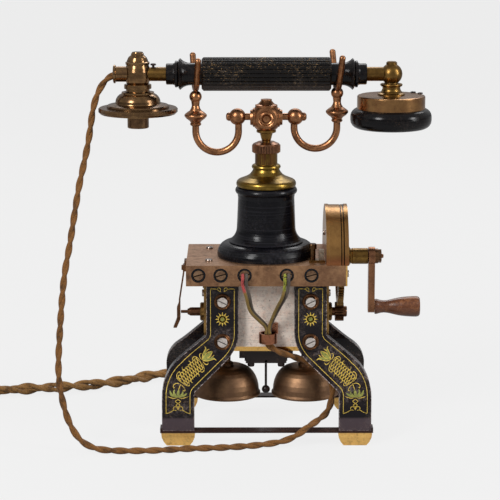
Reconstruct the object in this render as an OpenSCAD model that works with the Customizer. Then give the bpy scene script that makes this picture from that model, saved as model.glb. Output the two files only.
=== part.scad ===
// Magneto desk telephone on four curved magnet legs, with its handset on a forked cradle.
// Lengths are in millimetres. The table is z 0, the camera side is -Y, the crank is on +X.

/* [Base plate] */
// Width of the base plate, along X
plate_w = 129; // [127:0.5:130]
// Depth of the base plate, along Y
plate_d = 88; // [86:0.5:92]
// Thickness of the base plate
plate_t = 16.7; // [16:0.1:18]
// Height of the underside of the base plate above the table
plate_z = 128.3; // [127:0.1:131]
// Height of the terminal screws above the underside of the plate
terminal_up = 8.7; // [8:0.1:9.4]
// Radius of the terminal screws
terminal_r = 4.4; // [3.8:0.1:4.6]
// Radius of the insulating bushes round the terminal screws
insulator_r = 5.8; // [5.4:0.1:6.2]

/* [Magnet legs] */
// Width of a magnet bar, seen from the front
bar_w = 25.9; // [24:0.1:26.5]
// Thickness of a magnet bar
bar_t = 8.5; // [7.5:0.1:9]
// Distance of an upper bar's middle from the middle of the plate, along X
bar_x = 35.55; // [35.4:0.05:36.5]
// Distance of a foot's middle from the middle of the object, along X
foot_x = 71.1; // [69:0.1:73]
// Distance of a foot's middle from the middle of the object, along Y
foot_y = 52; // [50:0.5:54]
// Lean of the legs out of the vertical, seen from the front
lean_x = 50; // [46:1:52]
// Lean of the legs out of the vertical, seen from the side
lean_y = 40; // [38:1:44]
// Height of a foot
foot_h = 10.5; // [9.5:0.1:11.5]
// Half width of a foot where it meets the strap
foot_half = 13.6; // [13:0.1:14.5]
// Thickness of the straps between the feet
strap_t = 1.5; // [1.2:0.1:2]

/* [Generator] */
// Radius of the tunnel between the pole pieces
tunnel_r = 18; // [17.5:0.1:19]
// Air gap round the armature
air_gap = 0.5; // [0.4:0.1:0.8]
// How far the pole pieces end inside the plate's side
pole_inset = 15.8; // [15.4:0.1:16]
// Half depth of the pair of pole pieces, along Y
pole_y = 24.5; // [24:0.1:25.5]
// Radius of the armature shaft and of the crank shaft
shaft_r = 3.5; // [3:0.1:3.8]
// Teeth on the large wheel
wheel_teeth = 79; // [78:1:80]
// Teeth on the pinion
pinion_teeth = 14; // [14:1:15]
// Width of the large wheel
wheel_face = 4.5; // [4:0.1:4.8]

/* [Crank] */
// Distance from the crank's axis to the axis of its grip
arm_len = 42.4; // [40:0.2:45]
// Length of the wooden grip
grip_len = 37; // [36:0.5:42]
// Largest radius of the wooden grip
grip_r = 8.5; // [7.5:0.1:9]
// Length of the bearing tube of the crank
bearing_len = 17.8; // [16:0.2:19]

/* [Bells] */
// Radius of a bell at its rim
gong_r = 27.6; // [26.5:0.1:27.8]
// Height of a bell from its rim to its crown
gong_h = 23.5; // [22:0.5:25]
// Thickness of a bell's wall
gong_wall = 1.8; // [1.4:0.1:2.2]
// Distance of a bell's middle from the middle of the object
gong_x = 32.2; // [32.2:0.1:34]
// Radius of the clapper's ball
ball_r = 3.4; // [3:0.1:3.4]

/* [Column and cradle] */
// Radius of the column's rim on the base plate
rim_r = 39.8; // [38:0.1:41]
// Height of the black column
column_h = 57.1; // [55:0.1:60]
// Radius of the stem that slides in the column
stem_r = 3.4; // [3:0.1:3.8]
// Way that the hooks rise when the handset is lifted
hook_travel = 6; // [4:0.5:7]
// Size of the square block that carries the hooks
block_w = 18.8; // [17:0.2:20]
// Radius of the tube that the hooks are bent from
hook_r = 2.85; // [2.6:0.05:3]
// Radius of a hook's bend
hook_bend = 17.3; // [16.5:0.1:18]
// Turn of the forks about their own stems
fork_yaw = 6.5; // [0:0.5:7]
// Depth by which the left hook hangs lower than the right one
left_drop = 3; // [0:0.5:4]

/* [Handset] */
// Height of the handset's axis above the knots of the forks
fork_rise = 15.2; // [14.6:0.1:16]
// Radius over the reeds of the handle
handle_r = 13.6; // [13:0.1:14]
// Half length of the reeded handle
handle_half = 52; // [50:0.5:52.5]
// Radius of the necks that lie in the forks
neck_r = 9; // [8.5:0.1:9.4]
// Distance of the transmitter's axis from the middle
transmitter_x = 103.4; // [100:0.2:105]
// Distance of the receiver's axis from the middle
receiver_x = 100.6; // [99:0.2:104]
// Radius of the transmitter's disc
disc_r = 32; // [30:0.5:33]
// Radius of the ear cap
cap_r = 32.8; // [31:0.2:34]
// Radius of the brass can of the receiver
can_r = 27.4; // [26:0.2:28.5]

/* [Cords] */
// Diameter of the handset cord
handset_cord_d = 5.6; // [5:0.1:6]
// Diameter of the line cord
line_cord_d = 10.6; // [9.6:0.1:10.8]
// Diameter of the covered wires
wire_d = 2.6; // [2:0.1:2.8]

/* [Hidden] */
$fn = 48;

// Clearances: parts that run or slip in one another, parts that only pass, and cut overshoot
run_gap = 0.05;
free_gap = 0.3;
cut = 1;

// Colours as the photograph shows them
brass = [0.63, 0.47, 0.24];
bright_brass = [0.85, 0.66, 0.34];
copper = [0.62, 0.4, 0.26];
black_lacquer = [0.16, 0.14, 0.17];
ebonite = [0.09, 0.08, 0.08];
iron = [0.62, 0.58, 0.55];
steel = [0.72, 0.72, 0.74];
black_iron = [0.13, 0.12, 0.13];
plate_brown = [0.42, 0.34, 0.29];
bell_bronze = [0.34, 0.25, 0.18];
wood = [0.32, 0.17, 0.1];
cord_tan = [0.47, 0.4, 0.24];
cord_dark = [0.25, 0.22, 0.2];

// Plate and heights that hang on it
plate_top = plate_z + plate_t;
bar_in = bar_x - bar_w / 2;
bar_out = bar_x + bar_w / 2;
terminal_z = plate_z + terminal_up;
terminal_at = [for (share = [-0.846, -0.57, -0.274, 0.248, 0.554]) share * plate_w / 2];
rear_terminal_at = [-0.65 * plate_w / 2, -0.42 * plate_w / 2];
terminal_depth = 8;
plate_screw_x = plate_w / 2 - 18;
plate_screw_y = 25;
plate_screw_r = 2.9;
strip_end_t = 1.2;

// Generator: the wheel is on the crank's axis, the pinion hangs one centre distance below it
gear_module = 1;
addendum = 0.8 * gear_module;
dedendum = 1.1 * gear_module;
backlash = 0.25;
pressure_angle = 20;
crank_z = plate_top - 1.2;
armature_z = crank_z - gear_module * (wheel_teeth + pinion_teeth) / 2;
wheel_tip = gear_module * wheel_teeth / 2 + addendum;
pole_split = 1.5;
pole_bottom = armature_z - tunnel_r - 5.6;
floor_t = 3.7;
floor_z = pole_bottom - floor_t;
pole_x = plate_w / 2 - pole_inset;
side_t = 2;
side_top = plate_z - 4.9;
bush_r = 7.6;
bush_len = 3.5;
bush_x = pole_x + side_t + bush_len;
armature_r = tunnel_r - air_gap;
armature_half = pole_x - 1;
wheel_x = plate_w / 2 - 6.5;
pinion_x = wheel_x - 1.3;
pinion_face = wheel_face + 2.6;
pinion_end = pinion_x + pinion_face + 2.7;
tip_x = plate_w / 2 + 5.6;

// Case over the wheel, bearing, arm and grip, from left to right along X
case_gap = 0.7;
case_wall = 1.2;
case_in_r = wheel_tip + case_gap;
case_r = case_in_r + 1.4;
case_left = plate_w / 2 - 16.8;
notch_in = wheel_x - 0.8;
case_right = plate_w / 2;
bearing_x = case_right + case_wall;
flange_r = 8.2;
bearing_r = 6.5;
arm_x = bearing_x + bearing_len + free_gap;
arm_t = 5.2;
arm_r = 7.5;
grip_x = arm_x + arm_t + free_gap;
grip_z = crank_z - arm_len;
spindle_r = 2.2;
spindle_len = grip_len - 8;
washer_t = 2.5;
nut_t = 2.8;
shaft_end = arm_x + arm_t + washer_t + nut_t;

// Screws that hold the magnets to the pole pieces
magnet_screw_z = [plate_z - 15.3, plate_z - 48.6];
magnet_screw_r = 4.35;
shank_r = 2.9;
dish_r = 6.95;
dish_t = 1.4;

// Legs: both bends start where the bars leave the pole pieces
leg_top_x = plate_z - 41.3;
leg_drop_x = 46;
leg_top_y = pole_bottom - 0.4;
leg_drop_y = 40;
leg_foot_z = foot_h + strap_t;
yoke_bend = 3;
strap_half_y = 5.5;
strap_half_x = foot_x + bar_w / 2 + strap_t + run_gap;
foot_half_y = 6.8;

// Ringer, hung from the generator's floor
bracket_t = 9;
bracket_z = floor_z - bracket_t;
bracket_x = 22;
bracket_front = 13;
bracket_rear = 46;
coil_x = 11;
coil_y = 36.5;
coil_r = 9.3;
coil_h = 38;
core_r = 3.5;
clapper_t = 3.5;
clapper_z = bracket_z - 1 - clapper_t;
pivot_z = clapper_z + clapper_t / 2;
pivot_r = 1.2;
clapper_x = 17.6;
clapper_front = 5;
clapper_rear = 44;
ball_z = 31.1;
rod_r = 1;
gong_z = 28;
gong_top = gong_z + gong_h;
post_r = 3;

// Column, from the plate upwards
bore_r = 17;
spigot_r = 12;
column_floor = plate_top + 2;
column_top = plate_top + column_h;
neck_h = 27.4;
neck_top = column_top + neck_h;
collar_top = neck_top + 9;
shoulder_r = 6;
shoulder_t = 2;
shoulder_z = column_top + 6 - hook_travel - free_gap - shoulder_t;
spring_r = 5;
spring_wire = 1.2;
spring_turns = 9;

// Cradle: the block sits on the stem and the hooks hang from its sides
block_bottom = collar_top + 10.2;
block_z = block_bottom + block_w / 2;
boss_r = 7.7;
boss_x = block_w / 2 + 3.6;
hook_ball_r = 6.8;
hook_z = block_z + 0.6;
hook_x = handle_half + 5;
hook_in_x = hook_x - 2 * hook_bend;
hook_low_z = hook_z - 8.6;
disc_z = hook_z + 4.1;
knot_z = disc_z + 15.2;
knot_r = 5;
handset_z = knot_z + fork_rise;
prong_r = 2.5;
prong_bend = neck_r + prong_r + free_gap;
prong_angle = 35;
prong_reach = 26.7;
// Straight stretches run a little way into the bends, and are finer by a hair
lap = 0.6;
fade = 0.04;

// Handset: the necks rest in the forks, and the tube runs through the handle
tube_r = 5.65;
neck_len = 9;
ridge_x = neck_len + 8;
ridge_r = 12.6;
flare_r = 10.7;
collar_len = neck_len + 19.6;
tube_out_l = transmitter_x - 4;
tube_out_r = receiver_x - 4;
stub_x = transmitter_x + 19.7;
stub_r = 6.2;
barrel_r = 10.3;
cup_top = handset_z - 8.2;
disc_t = 4;
disc_bottom = handset_z - 31;
disc_top = disc_bottom + disc_t;
mouth_bottom = handset_z - 43.4;
mouth_r = 8.65;
mouth_in_r = 7.4;
can_top = handset_z - 16.6;
can_bottom = handset_z - 29.5;
cap_top_z = handset_z - 27.7;
cap_bottom = handset_z - 43.7;
can_wall = 1.4;

// Cord clamps: a ring with a lug, screwed to the generator in front and to a magnet behind
clamp_r = 7.4;
clamp_in_r = 5.8;
clamp_h = 8;
front_clamp = [1.2, -pole_y - clamp_r, 79];
rear_clamp = [-bar_x, pole_y + bar_t + clamp_r, 89];

// Handset cord: from the transmitter down to the table, past the front and up to its clamp
cord_exit = stub_x;
handset_route = [[-116.6, 0, handset_z - 0.8], [-cord_exit, 0, handset_z - 1.2],
    [-cord_exit - 5.5, 0, handset_z - 4.6], [-cord_exit - 10.5, 0, handset_z - 11.4], [-137.4, -1, 273],
    [-140, -3, 262], [-143, -8, 241], [-147, -14, 221], [-151, -20, 202], [-157, -32, 163.5],
    [-162, -42, 133], [-165, -52, 94], [-166, -60, 63], [-163.5, -64, 43], [-158, -68, 24],
    [-149, -72, 10], [-137, -76, 4], [-120.5, -80, 3], [-93, -80, 3], [-61.5, -75, 3], [-30, -71.5, 3],
    [-4, -66, 3.4], [14.5, -63.5, 6], [26, -62.5, 11.5], [32, -60.5, 15.8], [37.5, -56, 18],
    [43.5, -50, 20.5], [48.5, -44.5, 23.6], [51.5, -39, 28], [53.3, -34.5, 35], [53.5, -31.5, 43],
    [49, -27.5, 50.5], [41, -25, 56.5], [34.5, -24, 60], [28.5, -25.5, 63], [22, -28.8, 66.3],
    [15.5, -31.3, 69], [10, -32.2, 71.4], [5, -32.2, 74.4], [1.6, -31.9, 78], [1.2, -31.9, 86]];

// Line cord: from its clamp behind the left leg over the table to its coil
floor_cord = line_cord_d / 2;
coil_middle = [-302, 18];
coil_start_r = 61.7;
coil_pitch = 11.3;
coil_layer = 11.3;
coil_turns = 4;
coil_back = 2.25;
line_route = [[-35.5, 40.4, 94.6], [-35.5, 40.4, 91], [-35.5, 40.6, 86], [-36, 44.2, 74],
    [-37.5, 49.8, 63], [-41, 57.6, 52],
    [-46, 68, 40], [-52, 82, 27], [-60, 100, 16], [-68, 118, 10.5], [-78, 134, 8], [-89, 141.5, 6.4],
    [-104, 136, floor_cord], [-128, 118.5, floor_cord], [-165, 103.5, floor_cord], [-200, 96, floor_cord],
    [-214, 93, floor_cord], [-250, 86, floor_cord], [-277, 81, floor_cord], [-302, 79.7, floor_cord]];
line_tail = [[-318, 76.5, 17], [-334, 80, 14.6], [-350, 83.5, 9.6], [-364, 85.5, 6], [-380, 86, floor_cord]];

// Points of an arc round (x, y), from angle a to angle b
function arc(x, y, r, a, b, n = 6) = [for (i = [0:n]) let (t = a + (b - a) * i / n)
    [x + r * cos(t), y + r * sin(t)]];
function reversed(list) = [for (i = [len(list) - 1:-1:0]) list[i]];
function flipped(list) = [for (p = reversed(list)) [-p[0], p[1]]];

// Bend radius of a bar that leaves the vertical by an angle and comes back to it
function bend_radius(dx, dz, lean) = (dx * cos(lean) - dz * sin(lean))
    / (2 * (1 - cos(lean)) * cos(lean) - 2 * pow(sin(lean), 2));
// One edge of such a bar, at an offset from its middle line, from the top down
function bent_edge(x, z, dx, dz, lean, offset) = let (r = bend_radius(dx, dz, lean)) concat(
    [for (i = [0:8]) let (a = lean * i / 8) [x + r - (r - offset) * cos(a), z - (r - offset) * sin(a)]],
    [for (i = [8:-1:0]) let (a = lean * i / 8)
        [x + dx - r + (r + offset) * cos(a), z - dz + (r + offset) * sin(a)]]);

// Involute of the pressure angle at a radius, in degrees
function involute(base, r) = let (a = acos(min(1, base / r))) tan(a) * 180 / PI - a;
// Outline of a gear whose first tooth lies at angle start
function gear_points(teeth, start) = let (
    pitch = gear_module * teeth / 2,
    base = pitch * cos(pressure_angle),
    root = pitch - dedendum,
    tip = pitch + addendum,
    half = (PI * gear_module / 2 - backlash) / (2 * pitch) * 180 / PI + involute(base, pitch),
    radii = root < base ? [root, base, pitch, tip] : [root, pitch, tip])
    [for (i = [0:teeth - 1]) let (a = start + 360 * i / teeth) each concat(
        [for (r = radii) let (t = a - half + involute(base, max(r, base))) r * [cos(t), sin(t)]],
        [for (r = reversed(radii)) let (t = a + half - involute(base, max(r, base))) r * [cos(t), sin(t)]])];

// Smooth points through a list of points, with a number of steps in each stretch
function spline_point(a, b, c, d, t) = 0.5 * (2 * b + (c - a) * t
    + (2 * a - 5 * b + 4 * c - d) * t * t + (3 * b - a - 3 * c + d) * t * t * t);
function spline(points, steps) = let (n = len(points)) concat(
    [for (i = [0:n - 2]) for (j = [0:steps - 1])
        spline_point(points[max(i - 1, 0)], points[i], points[i + 1], points[min(i + 2, n - 1)], j / steps)],
    [points[n - 1]]);

function unit(v) = v / norm(v);
function direction(path, i) = unit(path[min(i + 1, len(path) - 1)] - path[max(i - 1, 0)]);
// Vector square to the path, carried along from ring to ring so that the tube doesn't twist
function squared(v, along) = unit(v - (v * along) * along);
function frames(path, i, last) = i >= len(path) ? [] : let (v = squared(last, direction(path, i)))
    concat([v], frames(path, i + 1, v));

// A round tube along a path, closed at both ends
module tube_along(path, r, sides, first) {
    n = len(path);
    side = frames(path, 0, first);
    rings = [for (i = [0:n - 1]) let (along = direction(path, i)) for (k = [0:sides - 1])
        path[i] + r * (cos(360 * k / sides) * side[i] + sin(360 * k / sides) * cross(along, side[i]))];
    polyhedron(rings, concat(
        [[for (k = [0:sides - 1]) k]],
        [[for (k = [sides - 1:-1:0]) (n - 1) * sides + k]],
        [for (i = [0:n - 2]) for (k = [0:sides - 1]) let (a = i * sides + k, b = i * sides + (k + 1) % sides)
            each [[a, a + sides, b], [b, a + sides, b + sides]]]));
}

module both_sides() {
    children();
    mirror([1, 0, 0]) children();
}

module front_and_rear() {
    children();
    mirror([0, 1, 0]) children();
}

// A solid turned about the vertical axis, from radius and height pairs
module turned(points) rotate_extrude() polygon(points);

// Children drawn about Z are laid along X, with their own +Z to +X
module along_x(x = 0, z = 0) translate([x, 0, z]) rotate([0, 90, 0]) children();

// Children drawn in a flat outline of (y, z) are given a thickness along X
module slab_x(x, t) translate([x, 0, 0]) rotate([90, 0, 90]) linear_extrude(t) children();

// Children drawn in a flat outline of (x, z) are given a thickness along Y, from y to y + t
module slab_y(y, t) translate([0, y + t, 0]) rotate([90, 0, 0]) linear_extrude(t) children();

// A round head with a screwdriver slot, its flat face on z 0 and its top up
module slotted_head(r, h, turn = 0) difference() {
    turned([[0, 0], [r, 0], [r, h * 0.7], [r * 0.9, h], [0, h]]);
    rotate([0, 0, turn]) translate([-r - cut, -r * 0.12, h * 0.5]) cube([2 * (r + cut), r * 0.24, h]);
}

// Children drawn with their top up are turned to face the camera side
module facing_front() rotate([90, 0, 0]) children();

module base_plate() {
    color(plate_brown) difference() {
        translate([-plate_w / 2, -plate_d / 2, plate_z]) cube([plate_w - strip_end_t, plate_d, plate_t]);
        translate([notch_in, -case_in_r, plate_z - cut])
            cube([plate_w, 2 * case_in_r, plate_t + 2 * cut]);
        for (x = terminal_at) translate([x, -plate_d / 2 - cut, terminal_z])
            rotate([-90, 0, 0]) cylinder(r = insulator_r + run_gap, h = terminal_depth + cut);
        for (x = rear_terminal_at) translate([x, plate_d / 2 + cut, terminal_z])
            rotate([90, 0, 0]) cylinder(r = insulator_r + run_gap, h = terminal_depth + cut);
    }
}

module end_strip() {
    color(bright_brass) difference() {
        translate([case_right - strip_end_t, -plate_d / 2, plate_z])
            cube([strip_end_t, plate_d, plate_t]);
        along_x(case_right - strip_end_t - cut, crank_z)
            cylinder(r = shaft_r + free_gap, h = strip_end_t + 2 * cut);
    }
}

module terminal_insulators() {
    color(ebonite) front_terminals() difference() {
        cylinder(r = insulator_r, h = terminal_depth);
        translate([0, 0, 2]) cylinder(r = terminal_r + run_gap, h = terminal_depth);
    }
}

// Children drawn with their top up are placed at every terminal, in front and behind
module front_terminals() {
    for (x = terminal_at) translate([x, terminal_depth - plate_d / 2, terminal_z])
        facing_front() children();
    for (x = rear_terminal_at) translate([x, plate_d / 2 - terminal_depth, terminal_z])
        rotate([-90, 0, 0]) children();
}

module terminal_screws() {
    color(brass) front_terminals() translate([0, 0, 2 + run_gap])
        slotted_head(terminal_r, terminal_depth - 2.6, 15);
}

module small_screws() {
    color(steel) {
        for (x = [-1, 1], y = [-1, 1]) if (x < 0)
            translate([x * plate_screw_x, y * plate_screw_y, plate_top])
                slotted_head(plate_screw_r, 1.6, 40);
        for (y = [-15, 15]) translate([-bush_x + bush_len, y, side_top - 7]) rotate([0, -90, 0])
            slotted_head(plate_screw_r, 1.6, 70);
        for (y = [-15, 15]) translate([pole_x + side_t, y, side_top - 7]) rotate([0, 90, 0])
            slotted_head(plate_screw_r, 1.6, 20);
        for (y = [-1, 1]) translate([case_right, y * (plate_d / 2 - 8), terminal_z])
            rotate([0, 90, 0]) slotted_head(plate_screw_r, 1.4, 30);
        translate([case_left, -6, crank_z + 21]) rotate([0, -90, 0]) slotted_head(2.2, 1.6, 40);
    }
}

// Outline of the black column, from its foot to its mouth
module column() {
    color(ebonite) turned(concat(
        [[0, plate_top], [rim_r, plate_top], [rim_r, plate_top + 2.2]],
        arc(rim_r - 9.2, plate_top + 2.2, 9.2, 12, 90, 6),
        [[rim_r - 10, plate_top + 11.6], [rim_r - 9.4, plate_top + 12.2]],
        arc(rim_r - 2.9, plate_top + 23.4, 13, 240, 182, 7),
        [[22.9, column_top - 9.5], [23.3, column_top - 6.6]],
        arc(22.2, column_top - 3.3, 3, -64, 76, 6),
        [[22.6, column_top], [spigot_r, column_top], [spigot_r, column_top - 7.5],
            [bore_r, column_top - 7.5], [bore_r, column_floor], [0, column_floor]]));
}

// Stepped brass neck on top of the column, bored for the sliding stem
module column_cap() {
    color(brass) turned(concat(
        [[shoulder_r + free_gap, column_top - 6], [spigot_r - run_gap, column_top - 6],
            [spigot_r - run_gap, column_top], [23.4, column_top]],
        arc(20.7, column_top + 2.2, 3.6, -30, 62, 6),
        [[20.6, column_top + 6.1], [19.6, column_top + 6.5], [16.4, column_top + 7.8],
            [13.4, column_top + 9.7], [11.5, column_top + 12.1], [10.5, column_top + 14.2]],
        arc(9.9, column_top + 16, 1.9, -70, 70, 4),
        [[9.1, column_top + 18.2], [9.1, neck_top], [stem_r + run_gap, neck_top],
            [stem_r + run_gap, column_top + 6], [shoulder_r + free_gap, column_top + 6]]));
}

module collar_nut() {
    color(brass) difference() {
        turned([[0, neck_top], [10.6, neck_top], [11.1, neck_top + 0.6], [11.1, neck_top + 6.4],
            [10.4, neck_top + 7.4], [7.6, collar_top - 0.4], [7, collar_top], [0, collar_top]]);
        translate([0, 0, neck_top - cut]) cylinder(r = stem_r + run_gap, h = collar_top - neck_top + 2 * cut);
    }
}

// Spring that lifts the stem when the handset is taken off
function spring_point(t) = [spring_r * cos(360 * t), spring_r * sin(360 * t),
    column_floor + spring_wire / 2 + free_gap
    + (shoulder_z - column_floor - spring_wire - 2 * free_gap) * t / spring_turns];
module hook_spring() {
    color(steel) tube_along([for (i = [0:spring_turns * 8]) spring_point(i / 8)],
        spring_wire / 2, 6, [1, 0, 0]);
}

// Pile of contact leaves beside the spring, worked by the stem's shoulder
module switch_contacts() {
    color(bright_brass) {
        translate([8, -4, column_floor]) cube([6.4, 8, 9]);
        for (i = [0:2]) translate([8.4 + i * 2.3, -3, column_floor + 9]) cube([0.9, 6, 19 + 3 * i]);
    }
}

// Drum case over the upper half of the wheel, with a tab behind the bearing
module gear_case() {
    inner = case_right - case_left - case_wall;
    lid_x = case_right - 5;
    color(brass) difference() {
        union() {
            intersection() {
                along_x(case_left, crank_z) union() {
                    cylinder(r = case_r, h = bearing_x - case_left);
                    cylinder(r = case_r + 0.5, h = 2.6);
                    translate([0, 0, bearing_x - case_left - 2.6]) cylinder(r = case_r + 0.5, h = 2.6);
                }
                translate([case_left, -60, plate_top]) cube([bearing_x - case_left, 120, 60]);
            }
            translate([case_right, -13, crank_z]) cube([case_wall, 26, 4]);
            intersection() {
                along_x(case_right, crank_z) cylinder(r = 13, h = case_wall);
                translate([case_right, -20, crank_z - 10]) cube([case_wall, 40, 20]);
            }
        }
        along_x(case_left + case_wall, crank_z) cylinder(r = case_in_r, h = inner);
        along_x(lid_x, crank_z) difference() {
            cylinder(r = case_r + cut, h = 0.8);
            cylinder(r = case_r - 0.7, h = 0.8);
        }
        along_x(case_right - cut, crank_z) cylinder(r = shaft_r + free_gap, h = case_wall + 2 * cut);
    }
}

module crank_bearing() {
    color(brass) along_x(bearing_x, crank_z) difference() {
        turned([[0, 0], [flange_r, 0], [flange_r, 2], [bearing_r - 0.4, 3.4], [bearing_r - 0.4, 4.2],
            [bearing_r, 4.8], [bearing_r, bearing_len - 0.6], [bearing_r - 0.6, bearing_len],
            [0, bearing_len]]);
        translate([0, 0, -cut]) cylinder(r = shaft_r + run_gap, h = bearing_len + 2 * cut);
    }
}

// Contact posts on the plate between the column's rim and the case
module contact_bracket() {
    post_y = -28;
    foot_x0 = 34;
    color(brass) translate([foot_x0, post_y - 4, plate_top]) cube([case_left - foot_x0 - 0.5, 8, 1.8]);
    color(wood) translate([foot_x0 + 3, post_y, plate_top + 1.8]) {
        cylinder(r = 2.4, h = 9);
        translate([0, 0, 9]) slotted_head(3.3, 4, 30);
    }
    color(steel) translate([foot_x0 + 8, post_y - 3, plate_top + 1.8]) {
        cube([4.4, 6, 8.2]);
        translate([2.2, 0, 4.4]) facing_front() slotted_head(1.7, 1, 60);
    }
}

// A bent bar magnet: its front view and its side view are cut through one another
module magnet() {
    half = bar_w / 2;
    outer_y = pole_y + bar_t;
    mid_y = pole_y + bar_t / 2;
    top = plate_z;
    inner_top = plate_z - bar_t;
    side = concat([[0, top]], arc(outer_y - yoke_bend, top - yoke_bend, yoke_bend, 90, 0),
        bent_edge(mid_y, leg_top_y, foot_y - mid_y, leg_drop_y, lean_y, bar_t / 2),
        [[foot_y + bar_t / 2, leg_foot_z], [foot_y - bar_t / 2, leg_foot_z]],
        reversed(bent_edge(mid_y, leg_top_y, foot_y - mid_y, leg_drop_y, lean_y, -bar_t / 2)),
        [[pole_y, inner_top], [0, inner_top]]);
    difference() {
        intersection() {
            slab_y(-100, 200) polygon(concat([[bar_out, top]],
                bent_edge(bar_x, leg_top_x, foot_x - bar_x, leg_drop_x, lean_x, half),
                [[foot_x + half, leg_foot_z], [foot_x - half, leg_foot_z]],
                reversed(bent_edge(bar_x, leg_top_x, foot_x - bar_x, leg_drop_x, lean_x, -half)),
                [[bar_in, top]]));
            slab_x(0, 120) polygon(concat(side, flipped(side)));
        }
        for (z = magnet_screw_z) translate([bar_x, -60, z])
            rotate([-90, 0, 0]) cylinder(r = shank_r + 0.1, h = 120);
    }
}

module left_magnet() {
    color(black_lacquer) mirror([1, 0, 0]) magnet();
}

module right_magnet() {
    color(black_lacquer) magnet();
}

// Children drawn with their top up are set on the face of every bar at its two screws
module at_magnet_screws() {
    both_sides() for (z = magnet_screw_z) {
        translate([bar_x, -pole_y - bar_t, z]) rotate([90, 0, 0]) children();
        translate([bar_x, pole_y + bar_t, z]) rotate([-90, 0, 0]) children();
    }
}

module magnet_screws() {
    color(steel) at_magnet_screws() {
        translate([0, 0, run_gap]) slotted_head(magnet_screw_r, 2.6, 25);
        translate([0, 0, -bar_t - 5]) cylinder(r = shank_r, h = bar_t + 5 + 2 * run_gap);
    }
}

module screw_cups() {
    color(brass) at_magnet_screws() turned(concat(
        [[magnet_screw_r + free_gap, 0], [dish_r, 0]],
        arc(dish_r - dish_t, 0, dish_t, 0, 90, 3),
        [[magnet_screw_r + free_gap, dish_t * 0.6]]));
}

// One of the two halves of the iron block round the armature, in front or behind
module pole_piece() {
    difference() {
        union() {
            translate([-pole_x, pole_split, pole_bottom])
                cube([2 * pole_x, pole_y - pole_split, plate_z - bar_t - pole_bottom]);
            translate([free_gap - bar_in, pole_split, plate_z - bar_t - cut])
                cube([2 * (bar_in - free_gap), pole_y - pole_split, bar_t + cut]);
        }
        along_x(-pole_x - cut, armature_z) cylinder(r = tunnel_r, h = 2 * (pole_x + cut));
        both_sides() for (z = magnet_screw_z) translate([bar_x, pole_y - 6, z])
            rotate([-90, 0, 0]) cylinder(r = shank_r + 0.1, h = 6 + cut);
    }
}

module front_pole_piece() {
    color(iron) mirror([0, 1, 0]) pole_piece();
}

module rear_pole_piece() {
    color(iron) pole_piece();
}

module generator_floor() {
    color(bright_brass) difference() {
        translate([-pole_x, -pole_y, floor_z]) cube([2 * pole_x, 2 * pole_y, floor_t]);
        both_sides() translate([gong_x, 0, floor_z - cut]) cylinder(r = post_r + run_gap, h = floor_t + 2 * cut);
    }
}

module bearing_plates() {
    color(brass) both_sides() difference() {
        translate([pole_x, -pole_y, floor_z]) cube([side_t, 2 * pole_y, side_top - floor_z]);
        along_x(pole_x - cut, armature_z) cylinder(r = shaft_r + free_gap, h = side_t + 2 * cut);
    }
}

module armature_bushes() {
    color(brass) both_sides() along_x(pole_x + side_t, armature_z) difference() {
        turned([[0, 0], [bush_r, 0], [bush_r, bush_len - 0.8], [bush_r - 0.8, bush_len], [0, bush_len]]);
        translate([0, 0, -cut]) cylinder(r = shaft_r + run_gap, h = bush_len + 2 * cut);
    }
}

// Leaf contact that rests beside the end of the armature shaft
module shunt_spring() {
    leaf = 1.2;
    pad = 2.8;
    end_x = -plate_w / 2;
    touch_x = -tip_x - free_gap;
    color(bell_bronze) {
        translate([end_x - 2.4, -5, terminal_z - 5]) cube([2.4, 10, 9]);
        slab_y(-3.5, 7) polygon([[end_x - 2.4, terminal_z], [end_x - 2.4, terminal_z - 7],
            [touch_x, armature_z + 10], [touch_x, armature_z - 6], [touch_x - 3, armature_z - 13],
            [touch_x - 3 - pad, armature_z - 13], [touch_x - pad, armature_z - 5],
            [touch_x - pad, armature_z + 4], [touch_x - leaf, armature_z + 8],
            [touch_x - leaf, armature_z + 11], [end_x - 2.4 - leaf, terminal_z - 6],
            [end_x - 2.4 - leaf, terminal_z]]);
        translate([end_x - 2.4 - leaf, 0, terminal_z - 2.6]) rotate([0, -90, 0]) slotted_head(2.2, 1.2, 10);
    }
}

// Feet: each one is drawn in together towards the table, seen from the front and the side
module feet() {
    color(bright_brass) both_sides() front_and_rear() intersection() {
        slab_y(foot_y - 20, 40) polygon([[foot_x - 9.2, 0], [foot_x + 9.2, 0],
            [foot_x + 11.6, foot_h * 0.3], [foot_x + 13.2, foot_h * 0.68], [foot_x + foot_half, foot_h],
            [foot_x - foot_half, foot_h], [foot_x - 13.2, foot_h * 0.68], [foot_x - 11.6, foot_h * 0.3]]);
        slab_x(foot_x - 30, 60) polygon([[foot_y - 5, 0], [foot_y + 5, 0],
            [foot_y + foot_half_y, foot_h * 0.68], [foot_y + foot_half_y, foot_h],
            [foot_y - foot_half_y, foot_h], [foot_y - foot_half_y, foot_h * 0.68]]);
    }
}

// Straps across the front and the rear, with their ends turned up against the legs
module tie_straps() {
    lip = 4;
    color(black_lacquer) front_and_rear() slab_y(foot_y - strap_half_y, 2 * strap_half_y) polygon(concat(
        [[-strap_half_x, foot_h], [strap_half_x, foot_h], [strap_half_x, foot_h + lip],
            [strap_half_x - strap_t, foot_h + lip], [strap_half_x - strap_t, leg_foot_z],
            [strap_t - strap_half_x, leg_foot_z], [strap_t - strap_half_x, foot_h + lip],
            [-strap_half_x, foot_h + lip]]));
}

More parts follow.
